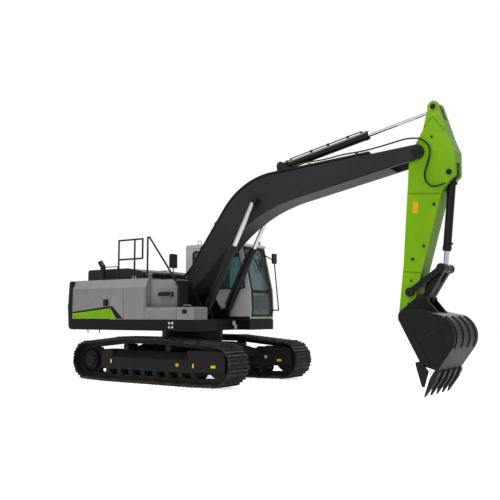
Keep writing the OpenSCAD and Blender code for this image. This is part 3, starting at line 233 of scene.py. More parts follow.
def make_weathering():
    """Paint with faded patches, bare edges, and dust on flat and low places. Where a look asks for much wear, as the
    bucket does, the light edges are partly painted highlight.
    """
    tree, given, out = group("weathering", [
        ("Vector", VECTOR, None), ("Paint", TINT, (0.1, 0.1, 0.1, 1)), ("Bare", TINT, (0.3, 0.3, 0.3, 1)),
        ("Dust colour", TINT, (0.2, 0.16, 0.12, 1)), ("Wear", FLOAT, 0.3), ("Dust", FLOAT, 0.3),
        ("Gloss", FLOAT, 0.4), ("Reach", FLOAT, 0.01)])
    vector = given["Vector"]
    coarse, fine, speck = (noise(tree, vector, *s) for s in ((1.7,), (11.0, 6.0), (130.0, 2.0)))
    pale = add(tree, "ShaderNodeHueSaturation", Value=1.3, Saturation=1.0, Color=given["Paint"]).outputs[0]
    faded = mix(tree, ramp(tree, coarse, 0.35, 0.7, 0.0, 0.6), given["Paint"], pale)
    bevel = add(tree, "ShaderNodeBevel", Radius=given["Reach"])
    bevel.samples = 4
    bent = tree.nodes.new("ShaderNodeVectorMath")
    bent.operation = "DOT_PRODUCT"
    tree.links.new(bevel.outputs[0], bent.inputs[0])
    tree.links.new(tree.nodes.new("ShaderNodeNewGeometry").outputs["Normal"], bent.inputs[1])
    rubbed = times(tree, ramp(tree, bent.outputs["Value"], 0.99, 0.86), ramp(tree, fine, 0.40, 0.58))
    chips = ramp(tree, noise(tree, vector, 26.0, 3.0), 0.735, 0.75)
    worn = times(tree, plus(tree, rubbed, chips), given["Wear"])
    facing = add(tree, "ShaderNodeSeparateXYZ", Vector=tree.nodes.new("ShaderNodeTexCoord").outputs["Normal"])
    height = add(tree, "ShaderNodeSeparateXYZ", Vector=vector)
    lying = ramp(tree, facing.outputs[2], 0.25, 0.95)
    low = ramp(tree, height.outputs[2], 1.3, 0.0, 0.0, 0.75)
    patchy = ramp(tree, plus(tree, times(tree, coarse, 0.5), times(tree, fine, 0.5)), 0.38, 0.62)
    dust = times(tree, times(tree, plus(tree, lying, low), patchy), given["Dust"])
    shade = mix(tree, dust, mix(tree, worn, faded, given["Bare"]), given["Dust colour"])
    rough = plus(tree, times(tree, dust, 0.35), ramp(tree, fine, 0.3, 0.7, 0.0, 0.1))
    grain = plus(tree, times(tree, speck, 0.35), times(tree, fine, 0.5))
    give(tree, out, shade, plus(tree, given["Gloss"], rough), grain)


def make_grain():
    """Fine grain of rubber and moulded plastic."""
    tree, given, out = group("moulded_grain", [
        ("Vector", VECTOR, None), ("Tint", TINT, (0.02, 0.02, 0.02, 1)), ("Scale", FLOAT, 400.0),
        ("Gloss", FLOAT, 0.6)])
    pores = add(tree, "ShaderNodeTexVoronoi", Vector=given["Vector"], Scale=given["Scale"]).outputs["Distance"]
    soft = noise(tree, given["Vector"], 9.0)
    shade = mix(tree, ramp(tree, soft, 0.35, 0.75, 0.0, 0.2), given["Tint"], (0.16, 0.15, 0.14, 1))
    give(tree, out, shade, plus(tree, given["Gloss"], ramp(tree, soft, 0.3, 0.7, 0.0, 0.15)), pores)


def material(name, metallic=0.0, coat=0.0):
    """A new material, its tree, its shader and its object coordinates."""
    made = bpy.data.materials.new(name)
    made.use_nodes = True
    tree = made.node_tree
    shader = tree.nodes["Principled BSDF"]
    shader.inputs["Metallic"].default_value = metallic
    shader.inputs["Coat Weight"].default_value = coat
    shader.inputs["Specular IOR Level"].default_value = 0.09
    return made, tree, shader, tree.nodes.new("ShaderNodeTexCoord").outputs["Object"]


def surface(tree, shader, shade, rough, height=None, strength=0.0, distance=0.001):
    """Links a shader's colour, roughness and bump."""
    tree.links.new(shade, shader.inputs["Base Color"])
    tree.links.new(rough, shader.inputs["Roughness"])
    if height is not None:
        node = add(tree, "ShaderNodeBump", Strength=strength, Distance=distance, Height=height)
        tree.links.new(node.outputs[0], shader.inputs["Normal"])


def placed_group(tree, name, **sockets):
    node = tree.nodes.new("ShaderNodeGroup")
    node.node_tree = bpy.data.node_groups[name]
    fill(tree, node, sockets)
    return [node.outputs[label] for label, _ in GROUP_OUTPUTS]


def painted(name, tint, gloss, wear_and_edge_light, dust, metallic=0.0, coat=0.0, reach=0.01, bumpy=0.12, bare=None):
    paint = bpy.context.scene.excavator_paint
    made, tree, shader, place = material(name, metallic, coat)
    parts = placed_group(tree, "weathering", Vector=place, Paint=(*tint, 1), Bare=(*(bare or paint.steel), 1),
                         Dust_colour=(*paint.soil, 1), Wear=wear_and_edge_light, Dust=dust, Gloss=gloss, Reach=reach)
    surface(tree, shader, *parts, bumpy, 0.002)
    return made


def moulded(name, tint, gloss, scale=400.0, strength=0.25):
    made, tree, shader, place = material(name)
    parts = placed_group(tree, "moulded_grain", Vector=place, Tint=(*tint, 1), Scale=scale, Gloss=gloss)
    surface(tree, shader, *parts, strength)
    return made


def window_glass(name, tint):
    made, tree, shader, place = material(name)
    shader.inputs["Transmission Weight"].default_value = 0.9
    shader.inputs["IOR"].default_value = 1.33
    smear = noise(tree, place, 3.0)
    shade = mix(tree, ramp(tree, smear, 0.35, 0.7, 0.0, 0.12), (*tint, 1), (0.75, 0.8, 0.78, 1))
    surface(tree, shader, shade, ramp(tree, smear, 0.3, 0.8, 0.0, 0.06))
    return made


def chrome(name):
    made, tree, shader, place = material(name, metallic=1.0)
    streak = noise(tree, place, 60.0, 3.0)
    shade = mix(tree, ramp(tree, streak, 0.3, 0.7), (0.50, 0.51, 0.53, 1), (0.36, 0.37, 0.39, 1))
    surface(tree, shader, shade, ramp(tree, streak, 0.3, 0.7, 0.10, 0.2), streak, 0.02)
    return made


def seat_cloth(name):
    made, tree, shader, place = material(name)
    warp, weft = (add(tree, "ShaderNodeTexWave", Vector=place, Scale=160.0, Distortion=0.6) for _ in range(2))
    weft.bands_direction = "Y"
    weave = times(tree, warp.outputs[1], weft.outputs[1])
    shade = mix(tree, weave, (0.025, 0.026, 0.03, 1), (0.085, 0.088, 0.095, 1))
    shader.inputs["Sheen Weight"].default_value = 0.3
    surface(tree, shader, shade, ramp(tree, weave, 0.0, 1.0, 0.95, 0.8), weave, 0.35)
    return made


def lens(name, tint):
    made, tree, shader, place = material(name)
    ribs = add(tree, "ShaderNodeTexWave", Vector=place, Scale=55.0).outputs[1]
    shade = mix(tree, ribs, (*tint, 1), tuple(0.7 * c for c in tint) + (1,))
    shader.inputs["Transmission Weight"].default_value = 0.3
    surface(tree, shader, shade, ramp(tree, ribs, 0, 1, 0.08, 0.2), ribs, 0.4, 0.002)
    return made


LOOKS = {}
# What shows where dark paint is rubbed
PRIMER = (0.05, 0.05, 0.05)


def make_looks():
    paint = bpy.context.scene.excavator_paint
    make_weathering()
    make_grain()
    LOOKS.update(
        charcoal=painted("charcoal_paint", paint.charcoal, 0.42, 0.06, 0.04, bare=PRIMER),
        casting=painted("casting_paint", paint.black, 0.48, 0.06, 0.04, bumpy=0.3, bare=PRIMER),
        lime=painted("lime_paint", paint.lime, 0.38, 0.05, 0.02, coat=0.04, bare=(0.12, 0.16, 0.05)),
        panel=painted("panel_paint", paint.panel, 0.38, 0.06, 0.03, coat=0.1, bare=(0.12, 0.12, 0.12)),
        cab=painted("cab_paint", paint.cab, 0.36, 0.05, 0.03, coat=0.15, bare=(0.2, 0.2, 0.2)),
        # Painted sheen: the black hood gets the lighter charcoal in place of the sheen on its top.
        hood=painted("hood_paint_and_sheen", paint.charcoal, 0.36, 0.06, 0.03, bare=PRIMER),
        black=painted("black_paint", paint.black, 0.42, 0.06, 0.03, bare=PRIMER),
        # Painted shade: the frame and skirt get a darker copy of the black paint in place of their shade.
        skirt=painted("skirt_paint_shaded", paint.skirt, 0.45, 0.05, 0.01, bare=(0.04, 0.04, 0.04)),
        rail=painted("rail_paint", paint.black, 0.4, 0.0, 0.0, coat=0.1),
        cylinder=painted("cylinder_paint", paint.black, 0.36, 0.05, 0.02, coat=0.1, bare=PRIMER),
        track=painted("track_steel", paint.track, 0.5, 0.55, 0.12, metallic=0.25, reach=0.012, bumpy=0.5,
                      bare=(0.22, 0.2, 0.18)),
        chassis=painted("chassis_paint", paint.chassis, 0.5, 0.08, 0.05, bumpy=0.25, bare=PRIMER),
        roller=painted("roller_steel", (0.010, 0.0098, 0.0095), 0.5, 0.2, 0.04, metallic=0.2, bumpy=0.3),
        # Painted highlight: the bucket's high wear and grey edge colour are partly real wear and partly painted
        # highlight on its edges and bands.
        bucket=painted("bucket_paint", paint.bucket, 0.42, 0.45, 0.04, reach=0.016, bumpy=0.3,
                       bare=(0.09, 0.09, 0.09)),
        tooth=painted("tooth_steel", (0.016, 0.016, 0.016), 0.45, 0.25, 0.06, metallic=0.2, reach=0.014, bumpy=0.4),
        engine=painted("engine_paint", (0.05, 0.05, 0.05), 0.5, 0.1, 0.1, bumpy=0.3),
        bolt=painted("bolt_steel", (0.02, 0.02, 0.021), 0.42, 0.3, 0.05, metallic=0.3, reach=0.004),
        stripe=painted("stripe_lime", paint.lime, 0.36, 0.02, 0.02, coat=0.04, bare=(0.1, 0.12, 0.05)),
        border=painted("stripe_border", (0.008, 0.008, 0.009), 0.4, 0.02, 0.02),
        amber=painted("amber_plate", paint.amber, 0.32, 0.1, 0.12),
        yellow=painted("yellow_plate", paint.yellow, 0.36, 0.15, 0.15),
        pale=painted("pale_plate", (0.62, 0.62, 0.6), 0.35, 0.1, 0.12),
        lime_line=painted("lime_weld", (0.07, 0.15, 0.004), 0.5, 0.02, 0.02),
        seam=moulded("seam_rubber", (0.006, 0.006, 0.006), 0.7),
        rubber=moulded("rubber", (0.010, 0.010, 0.011), 0.52, 500.0),
        plastic=moulded("console_plastic", (0.028, 0.028, 0.030), 0.5),
        tread=moulded("step_tread", (0.02, 0.02, 0.02), 0.8, 160.0, 0.6),
        glass=window_glass("cab_glass", paint.glass), chrome=chrome("rod_chrome"),
        mirror=chrome("mirror_glass"), cloth=seat_cloth("seat_cloth"),
        lamp=lens("lamp_lens", (0.85, 0.86, 0.84)), red=lens("red_lens", (0.5, 0.02, 0.015)),
        screen=moulded("screen_face", (0.01, 0.016, 0.02), 0.12, 900.0, 0.05))


# Mesh helpers, which work as by hand: a primitive, then edit mode

def mode(name):
    bpy.ops.object.mode_set(mode=name)


def fresh(*pieces):
    """Leaves edit mode with only the given pieces selected, the first of them active."""
    if bpy.context.object and bpy.context.object.mode != "OBJECT":
        mode("OBJECT")
    bpy.ops.object.select_all(action="DESELECT")
    for piece in pieces:
        piece.select_set(True)
    if pieces:
        bpy.context.view_layer.objects.active = pieces[0]


def named(name):
    piece = bpy.context.object
    piece.name = piece.data.name = name
    return piece


def settle():
    bpy.ops.object.transform_apply(location=True, rotation=True, scale=True)


def editing(action="SELECT"):
    mode("EDIT")
    bpy.ops.mesh.select_all(action=action)


def round_edges(offset, steps=2):
    editing()
    bpy.ops.mesh.bevel(offset=offset, segments=steps, affect="EDGES")
    mode("OBJECT")


def block(name, low, high, edge=0.006, steps=2):
    """A box between two corners with rounded edges."""
    fresh()
    low, high = (Vector(map(pick, low, high)) for pick in (min, max))
    bpy.ops.mesh.primitive_cube_add(size=1.0, location=(low + high) / 2)
    piece = named(name)
    piece.scale = high - low
    settle()
    round_edges(edge, steps)
    return piece


def drum(name, start, end, radius, edge=0.004, end_radius=None):
    """A round piece between two points, with its rims bevelled."""
    fresh()
    start, end = Vector(start), Vector(end)
    bpy.ops.mesh.primitive_cone_add(
        vertices=32, radius1=radius, radius2=radius if end_radius is None else end_radius,
        depth=(end - start).length, location=(start + end) / 2,
        rotation=(end - start).to_track_quat("Z", "Y").to_euler())
    piece = named(name)
    settle()
    rims = {k for f in piece.data.polygons if len(f.vertices) > 4 for k in f.edge_keys}
    editing("DESELECT")
    mode("OBJECT")
    for line in piece.data.edges:
        line.select = line.key in rims
    mode("EDIT")
    bpy.ops.mesh.select_mode(type="EDGE")
    bpy.ops.mesh.bevel(offset=edge, segments=2, affect="EDGES")
    mode("OBJECT")
    return piece


def plate(name, outline, depth, edge=0.0):
    """A plate from its outline, drawn out by a vector."""
    fresh()
    bpy.ops.mesh.primitive_circle_add(vertices=len(outline), radius=1.0, fill_type="NGON")
    piece = named(name)
    for corner, place in zip(piece.data.vertices, outline):
        corner.co = place
    editing()
    bpy.ops.mesh.extrude_region_move(TRANSFORM_OT_translate={"value": Vector(depth)})
    bpy.ops.mesh.select_all(action="SELECT")
    bpy.ops.mesh.normals_make_consistent(inside=False)
    mode("OBJECT")
    if edge:
        round_edges(edge, 1)
    return piece


def rectangle(centre, across, up):
    """Corners round a centre, from half the width and half the height as vectors."""
    return [centre + u * Vector(across) + v * Vector(up) for u, v in SQUARE]


def filleted(points, radius, steps=5):
    """A path whose corners are rounded."""
    points = [Vector(p) for p in points]
    path = [points[0]]
    for before, corner, after in zip(points, points[1:], points[2:]):
        u, v = before - corner, after - corner
        reach = min(radius, u.length * 0.45, v.length * 0.45)
        a, b = corner + u.normalized() * reach, corner + v.normalized() * reach
        path += [(1 - t) ** 2 * a + 2 * t * (1 - t) * corner + t * t * b
                 for t in (i / steps for i in range(steps + 1))]
    return path + [points[-1]]


def rounded(corners, radius):
    """A closed outline whose corners are rounded."""
    return filleted(corners + corners[:2], radius)[1:-1]


def flowing(points, steps=8):
    """A smooth path through all its points."""
    points = [Vector(p) for p in points]
    points = [2 * points[0] - points[1]] + points + [2 * points[-1] - points[-2]]
    path = []
    for a, b, c, d in zip(points, points[1:], points[2:], points[3:]):
        path += [0.5 * (2 * b + (c - a) * t + (2 * a - 5 * b + 4 * c - d) * t ** 2
                        + (3 * b - a - 3 * c + d) * t ** 3) for t in (i / steps for i in range(steps))]
    return path + [points[-2]]


def tube(name, path, radius, closed=False, sides=3):
    """A round tube along a path, made a mesh."""
    fresh()
    bpy.ops.curve.primitive_bezier_curve_add()
    piece = named(name)
    line = piece.data
    line.splines.clear()
    spline = line.splines.new("POLY")
    spline.points.add(len(path) - 1)
    for knot, place in zip(spline.points, path):
        knot.co = (*place, 1)
    spline.use_cyclic_u = closed
    line.dimensions = "3D"
    line.bevel_depth, line.bevel_resolution, line.use_fill_caps = radius, sides, not closed
    bpy.ops.object.convert(target="MESH")
    return named(name)


def joined(name, pieces):
    fresh(*pieces)
    bpy.ops.object.join()
    return named(name)


def hex_bolt(radius):
    """A bolt head with its washer, standing on the origin along Z."""
    fresh()
    bpy.ops.mesh.primitive_cylinder_add(vertices=6, radius=radius, depth=radius * 1.1, location=(0, 0, radius * 0.75))
    piece = named("bolt_pattern")
    settle()
    round_edges(radius * 0.12, 1)
    mode("EDIT")
    bpy.ops.mesh.primitive_cylinder_add(vertices=12, radius=radius * 1.55, depth=radius * 0.3,
                                        location=(0, 0, radius * 0.1))
    mode("OBJECT")
    return piece


def stood(point, way):
    """The placing of a piece that stands on a point along a direction."""
    return Matrix.Translation(Vector(point)) @ Vector(way).to_track_quat("Z", "Y").to_matrix().to_4x4()


def copied(name, pattern, places):
    """Copies of a pattern with their own meshes, each stood on a point along a direction, joined in one piece."""
    made = []
    for place in places:
        twin = pattern.copy()
        twin.data = pattern.data.copy()
        bpy.context.collection.objects.link(twin)
        twin.matrix_world = stood(*place)
        made.append(twin)
    bpy.data.objects.remove(pattern)
    fresh(*made)
    settle()
    return joined(name, made)


def dress(piece, body="upper", look="black", smooth=35):
    """Gives a finished piece its material, its slot and, unless it is a hose, the body that it rides on."""
    piece.data.materials.clear()
    piece.data.materials.append(LOOKS[look])
    fresh(piece)
    bpy.ops.object.shade_smooth_by_angle(angle=math.radians(smooth))
    if body:
        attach(piece, body)
    return piece


def blocks(rows):
    """Dresses boxes given as name, corners, rounding, its steps, body and look."""
    for name, low, high, edge, steps, body, look in rows:
        dress(block(name, at(*low), at(*high), edge, steps), body, look)


def bolts(name, places, radius, body, look="bolt"):
    return dress(copied(name, hex_bolt(radius), places), body, look)


def pin_head(name, centre, s, radius, height, edge, body):
    """A round head on a pin's end. Gives the middle of its face."""
    face = centre + Vector((0, s * height, 0))
    dress(drum(name, centre, face, radius, edge), body)
    return face


def circle_of(centre, axis, radius, count):
    """Points on a circle round an axis, with the axis as their direction."""
    axis = Vector(axis)
    u = axis.orthogonal().normalized()
    v = axis.cross(u).normalized()
    turns = [2 * math.pi * i / count for i in range(count)]
    return [(Vector(centre) + radius * (math.cos(a) * u + math.sin(a) * v), axis) for a in turns]


class Fitting:
    """What the operators of fittings share."""
    bl_options = {"REGISTER", "UNDO"}

    def execute(self, context):
        self.build(context.scene.excavator_sizes)
        return {"FINISHED"}


def show(tree, output, plain, bright):
    """Feeds an output with one shader that lights the scene and another that the camera and glass see."""
    rays = tree.nodes.new("ShaderNodeLightPath").outputs
    mirrored = maths(tree, "MAXIMUM", rays["Is Glossy Ray"], rays["Is Transmission Ray"])
    seen = maths(tree, "MAXIMUM", rays["Is Camera Ray"], mirrored)
    blend = tree.nodes.new("ShaderNodeMixShader")
    for socket, value in zip(blend.inputs, (seen, plain.outputs[0], bright.outputs[0])):
        tree.links.new(value, socket)
    tree.links.new(blend.outputs[0], tree.nodes[output].inputs["Surface"])


def make_floor(settings):
    fresh()
    bpy.ops.mesh.primitive_plane_add(size=90, location=(0, 0, -0.002))
    floor = named("studio_floor")
    settle()
    editing()
    bpy.ops.mesh.subdivide(number_cuts=4)
    mode("OBJECT")
    made, tree, shader, _ = material("studio_floor")
    shader.inputs["Base Color"].default_value = (*settings.floor, 1)
    shader.inputs["Roughness"].default_value = 0.9
    shader.inputs["Specular IOR Level"].default_value = 0.1
    glow = add(tree, "ShaderNodeEmission", Color=(1, 1, 1, 1), Strength=settings.glow)
    both = tree.nodes.new("ShaderNodeAddShader")
    tree.links.new(shader.outputs[0], both.inputs[0])
    tree.links.new(glow.outputs[0], both.inputs[1])
    show(tree, "Material Output", shader, both)
    floor.data.materials.append(made)


def make_world(scene, settings):
    scene.world = bpy.data.worlds.new("studio")
    scene.world.use_nodes = True
    tree = scene.world.node_tree
    lit = tree.nodes["Background"]
    lit.inputs["Color"].default_value = (0.97, 0.985, 1.0, 1)
    lit.inputs["Strength"].default_value = settings.world
    show(tree, "World Output", lit, add(tree, "ShaderNodeBackground", Color=(1, 1, 1, 1), Strength=1.0))


LAMP_AIM = at(1.0, 0, 1.6)
CAMERA_PLACE, CAMERA_TURN = at(9.619, -11.669, 1.362), (95.441, 0, 34.755)


class EXCAVATOR_OT_stage(bpy.types.Operator):
    """Sets the floor, the world, the lamps and the camera"""
    bl_idname = "excavator.stage"
    bl_label = "Studio"

    def execute(self, context):
        settings = context.scene.excavator_stage
        context.scene.view_settings.view_transform = "Standard"
        make_floor(settings)
        make_world(context.scene, settings)
        for name, place, size, power in (("key_lamp", at(4.5, -11.0, 8.5), 7.0, settings.key),
                                         ("fill_lamp", at(2.0, 11.0, 7.0), 7.0, settings.fill),
                                         ("top_lamp", at(-1.0, -1.0, 12.0), 8.0, settings.top)):
            fresh()
            aim = (LAMP_AIM - place).to_track_quat("-Z", "Y").to_euler()
            bpy.ops.object.light_add(type="AREA", location=place, rotation=aim)
            lamp = named(name)
            lamp.data.shape, lamp.data.size, lamp.data.energy = "DISK", size, power
        fresh()
        bpy.ops.object.camera_add(location=CAMERA_PLACE, rotation=[math.radians(a) for a in CAMERA_TURN])
        camera = named("photo_camera")
        camera.data.lens, camera.data.sensor_width, camera.data.clip_end = settings.lens, 36.0, 200
        context.scene.camera = camera
        return {"FINISHED"}


NODE_LOOKS = {
    "charcoal": ["boom"], "casting": ["counterweight"], "lime": ["arm"],
    "panel": ["right_housing", "left_housing", "fuel_tank", "tool_box", "tool_box_lid", "pump_door", "cooler_door",
              "service_door"],
    "cab": ["cab_body", "cab_roof", "cab_door"], "skirt": ["main_frame"], "hood": ["engine_hood"],
    "rail": ["handrails", "exhaust_pipe", "boom_pipes", "mirrors"],
    "cylinder": ["boom_cylinders", "arm_cylinder", "bucket_cylinder"], "track": ["track_right", "track_left"],
    "chassis": ["carbody", "track_frame_right", "track_frame_left", "final_drives", "swing_ring"],
    "roller": ["idlers", "rollers"], "bucket": ["bucket", "tipping_links", "bucket_link"],
    "tooth": ["bucket_teeth"], "engine": ["engine"], "glass": ["cab_glass", "door_glass"],
    "chrome": ["boom_rods", "arm_rod", "bucket_rod"], "plastic": ["consoles", "seat"]}


class EXCAVATOR_OT_finishes(bpy.types.Operator):
    """Makes the materials and gives each solid its own"""
    bl_idname = "excavator.finishes"
    bl_label = "Finishes"

    def execute(self, context):
        make_looks()
        for look, nodes in NODE_LOOKS.items():
            for node in nodes:
                solid = frame["nodes"][node]
                solid.data.materials.clear()
                solid.data.materials.append(LOOKS[look])
        return {"FINISHED"}


def clipped(outline, low, high):
    """An outline cut off at two uprights."""
    for limit, keep in ((low, lambda x: x >= low), (high, lambda x: x <= high)):
        cut = []
        for a, b in zip(outline, outline[1:] + outline[:1]):
            if keep(a[0]):
                cut.append(a)
            if keep(a[0]) != keep(b[0]):
                t = (limit - a[0]) / (b[0] - a[0])
                cut.append((limit, a[1] + t * (b[1] - a[1])))
        outline = cut
    return outline


class EXCAVATOR_OT_stripes(Fitting, bpy.types.Operator):
    """Lays the lime wedge and its dark border over the side doors and housings"""
    bl_idname = "excavator.stripes"
    bl_label = "Side stripes"

    def build(self, sizes):
        lime = [(-2.318, 1.292), (-0.955, 1.292), (-1.135, 1.515), (-2.318, 1.405)]
        dark = [(-2.318, 1.292), (-0.76, 1.292), (-1.075, 1.555), (-1.19, 1.555), (-2.318, 1.44)]
        doors = {"right": (("pump_door", -2.318, -1.160), ("upper", -1.148, -0.76)),
                 "left": (("cooler_door", -2.318, -1.515), ("service_door", -1.489, -0.76))}
        for s, name in SIDES:
            for body, rear, front in doors[name]:
                for look, outline, lift in (("border", dark, 0.4), ("stripe", lime, 1.0)):
                    cut = clipped(outline, rear, front)
                    if len(cut) > 2:
                        flat = upright(s * (SIDE + 0.0003), cut)
                        made = plate(f"{look}_{name}_{body}", flat, (0, s * sizes.film * lift, 0))
                        dress(made, body, look)


def grip(start, end, rise, corner):
    """A path that stands off at one point, runs across and comes back at another."""
    rise = Vector(rise)
    return filleted([start, start + rise, end + rise, end], corner)


class EXCAVATOR_OT_housing_fittings(Fitting, bpy.types.Operator):
    """Adds seams, latches, grilles, grips, drains, bolts, blank plates and the step panel to the housings"""
    bl_idname = "excavator.housing_fittings"
    bl_label = "Housing fittings"

    def build(self, sizes):
        for name, x in (("rear", -0.75), ("front", -0.165)):
            seam = rectangle(at(x, -SIDE - 0.0004, 1.6125), (0, 0, 0.3275), (0.003, 0, 0))
            dress(plate(f"panel_seam_{name}", seam, (0, -0.0008, 0)), "upper", "seam")
        for body, x, s in (("pump_door", -1.268, -1), ("cooler_door", -1.623, 1), ("service_door", -0.735, 1)):
            y = s * (SIDE + 0.008)
            low, high = at(x - 0.075, y - 0.002, 1.56), at(x + 0.075, y + s * 0.012, 1.70)
            dress(block(f"latch_{body}", low, high, 0.005, 3), body)
            low, high = at(x - 0.05, y + s * 0.010, 1.61), at(x + 0.02, y + s * 0.021, 1.65)
            dress(block(f"latch_pull_{body}", low, high, 0.005), body, "bolt")
        for body, rear, front in (("cooler_door", -2.326, -1.513), ("service_door", -1.491, -0.625)):
            low, high = at(rear + 0.11, SIDE - 0.042, 1.34), at(front - 0.2, SIDE - 0.034, 1.87)
            dress(block(f"grille_{body}", low, high, 0.003), body, "rubber")
        for s, name in SIDES:
            path = grip(at(-1.9, s * 0.86, 2.385), at(-1.45, s * 0.86, 2.385), (0, 0, 0.055), 0.03)
            dress(tube(f"hood_grip_{name}", path, 0.010), "engine_hood")
        cap = drum("breather_cap", at(-0.70, -1.10, 2.122), at(-0.70, -1.10, 2.20), 0.045, end_radius=0.028)
        dress(cap, "upper", "pale")
        path = grip(at(0.22, -1.17, 2.085), at(0.42, -1.17, 2.085), (0, 0, 0.115), 0.04)
        dress(tube("tank_grab", path, 0.009))
        for i, x in enumerate((-1.99, -1.62)):
            drain = flowing([at(x, -1.2, 1.06), at(x + 0.005, -1.2, 1.03), at(x + 0.02, -1.2, 0.985)], 4)
            dress(tube(f"drain_spout_{i}", drain, 0.011), "upper", "rubber")
        places = [(at(x, 0.14 - SIDE, 2.125), UP) for x in (-2.1, -1.85, -1.45, -1.1, -0.45)]
        places += [(at(x, SIDE - 0.14, 2.125), UP) for x in (-2.1, -1.8, -1.3, -0.9)]
        bolts("roof_bolts", places, sizes.small_bolt, "upper")
        places = [(at(x, s * SIDE, z), (0, s, 0)) for s, _ in SIDES for x in (-2.2, -1.6, -0.9, -0.3)
                  for z in (1.12, 1.21)]
        bolts("skirt_bolts", places, sizes.small_bolt, "upper")
        places = [(at(x, -SIDE, z), RIGHT) for x in (0.52, 0.60) for z in (1.13, 1.21)]
        bolts("plated_bolts", places, sizes.bolt, "upper", "pale")
        for i, (y, z) in enumerate(((0.324, 1.201), (0.385, 1.125))):
            outline = rectangle(at(0.8805, y, z), (0, 0.05, 0), (0, 0, 0.045))
            dress(plate(f"front_plate_{i}", outline, (sizes.film, 0, 0)), "upper", "pale")
        low, high = at(-0.118, -SIDE - 0.005, 1.292), at(0.664, -SIDE - 0.0005, 1.516)
        dress(block("step_panel", low, high, 0.002), "upper", "panel")


class EXCAVATOR_OT_deck_fittings(Fitting, bpy.types.Operator):
    """Adds treads, the box's latch, the tank's cover and step, and the valve bank to the deck"""
    bl_idname = "excavator.deck_fittings"
    bl_label = "Deck fittings"

    def build(self, sizes):
        blocks((
            ("tool_box_tread", (0.735, -1.335, 1.5255), (1.12, -0.96, 1.531), 0.002, 2, "tool_box_lid", "tread"),
            ("step_tread", (-0.08, -1.345, 1.5305), (0.62, -1.22, 1.536), 0.002, 2, "upper", "tread"),
            ("tool_box_latch", (0.86, -SIDE - 0.018, 1.40), (0.97, -SIDE - 0.0005, 1.475), 0.006, 2, "upper", "black")))
        cover = rectangle(at(0.5205, -0.955, 1.685), (0, 0.165, 0), (0, 0, 0.385))
        dress(plate("tank_front_cover", cover, (0.006, 0, 0), 0.002))
        dress(block("tank_step", at(0.148, -1.298, 1.738), at(0.502, -1.1985, 1.833), 0.02, 3))
        pieces = [block("valve_bank", at(-0.62, -0.16, 1.2805), at(-0.30, 0.16, 1.52), 0.02)]
        for x in (-0.57 + 0.075 * i for i in range(4)):
            pieces += [drum("valve", at(x, s * 0.10, 1.51), at(x, s * 0.10, 1.60), 0.026) for s, _ in SIDES]
        dress(joined("valve_bank", pieces), "upper", "engine")


class EXCAVATOR_OT_tail_fittings(Fitting, bpy.types.Operator):
    """Adds lamps, a tread strip and a groove to the counterweight"""
    bl_idname = "excavator.tail_fittings"
    bl_label = "Tail fittings"

    def build(self, sizes):
        angle = math.radians(22)
        for s, name in SIDES:
            out = Vector((-math.cos(angle), s * math.sin(angle), 0))
            centre = at(0, 0, 1.42) + (TAIL_RADIUS - 0.007) * out
            across = Vector(UP).cross(out)
            for label, look, width, height, lift in (("shell", "black", 0.10, 0.075, 0.018),
                                                     ("glass", "red", 0.086, 0.062, 0.026)):
                outline = rectangle(centre, across * width, (0, 0, height))
                made = plate(f"tail_lamp_{label}_{name}", outline, out * lift, 0.006)
                dress(made, "upper", look)
        strip = rectangle(at(-2.53, 0, 2.1205), (0, 0.5, 0), (0.09, 0, 0))
        dress(plate("tail_step_strip", strip, (0, 0, 0.004)), "upper", "tread")
        groove = [at(-TAIL_RADIUS * math.cos(a), TAIL_RADIUS * math.sin(a), 1.235)
                  for a in map(math.radians, range(-18, 19, 3))]
        dress(tube("tail_groove", groove, 0.006), "upper", "seam")


class EXCAVATOR_OT_mirror_glass(Fitting, bpy.types.Operator):
    """Sets the glass into both mirrors and a clamp on the right mirror's arm"""
    bl_idname = "excavator.mirror_glass"
    bl_label = "Mirror glass"

    def build(self, sizes):
        for name, middle, width, height in (("right", at(0.559, -1.330, 2.44), 0.165, 0.255),
                                            ("left", at(1.189, 1.410, 2.64), 0.125, 0.205)):
            outline = rounded(rectangle(middle, (0, width / 2, 0), (0, 0, height / 2)), 0.03)
            dress(plate(f"mirror_glass_{name}", outline, (-0.003, 0, 0)), "upper", "mirror")
        clamp = block("mirror_clamp", at(0.53, -1.268, 2.062), at(0.59, -1.204, 2.128), 0.012, 3)
        dress(clamp)


def screen_x(z):
    """The cab's front face at a height."""
    marks = ((1.28, 1.205), (1.50, 1.230), (1.90, 1.210), (2.88, 0.985))
    for (z0, x0), (z1, x1) in zip(marks, marks[1:]):
        if z <= z1:
            return x0 + (x1 - x0) * (z - z0) / (z1 - z0)
    return marks[-1][1]


def screen_strip(y0, y1, z0, z1, steps, lift):
    """An outline up the cab's front face at one side and down it at another."""
    rise = [z0 + (z1 - z0) * i / steps for i in range(steps + 1)]
    ends = [(y0, z) for z in rise] + [(y1, z) for z in reversed(rise)]
    return [at(screen_x(z) + lift, y, z) for y, z in ends]


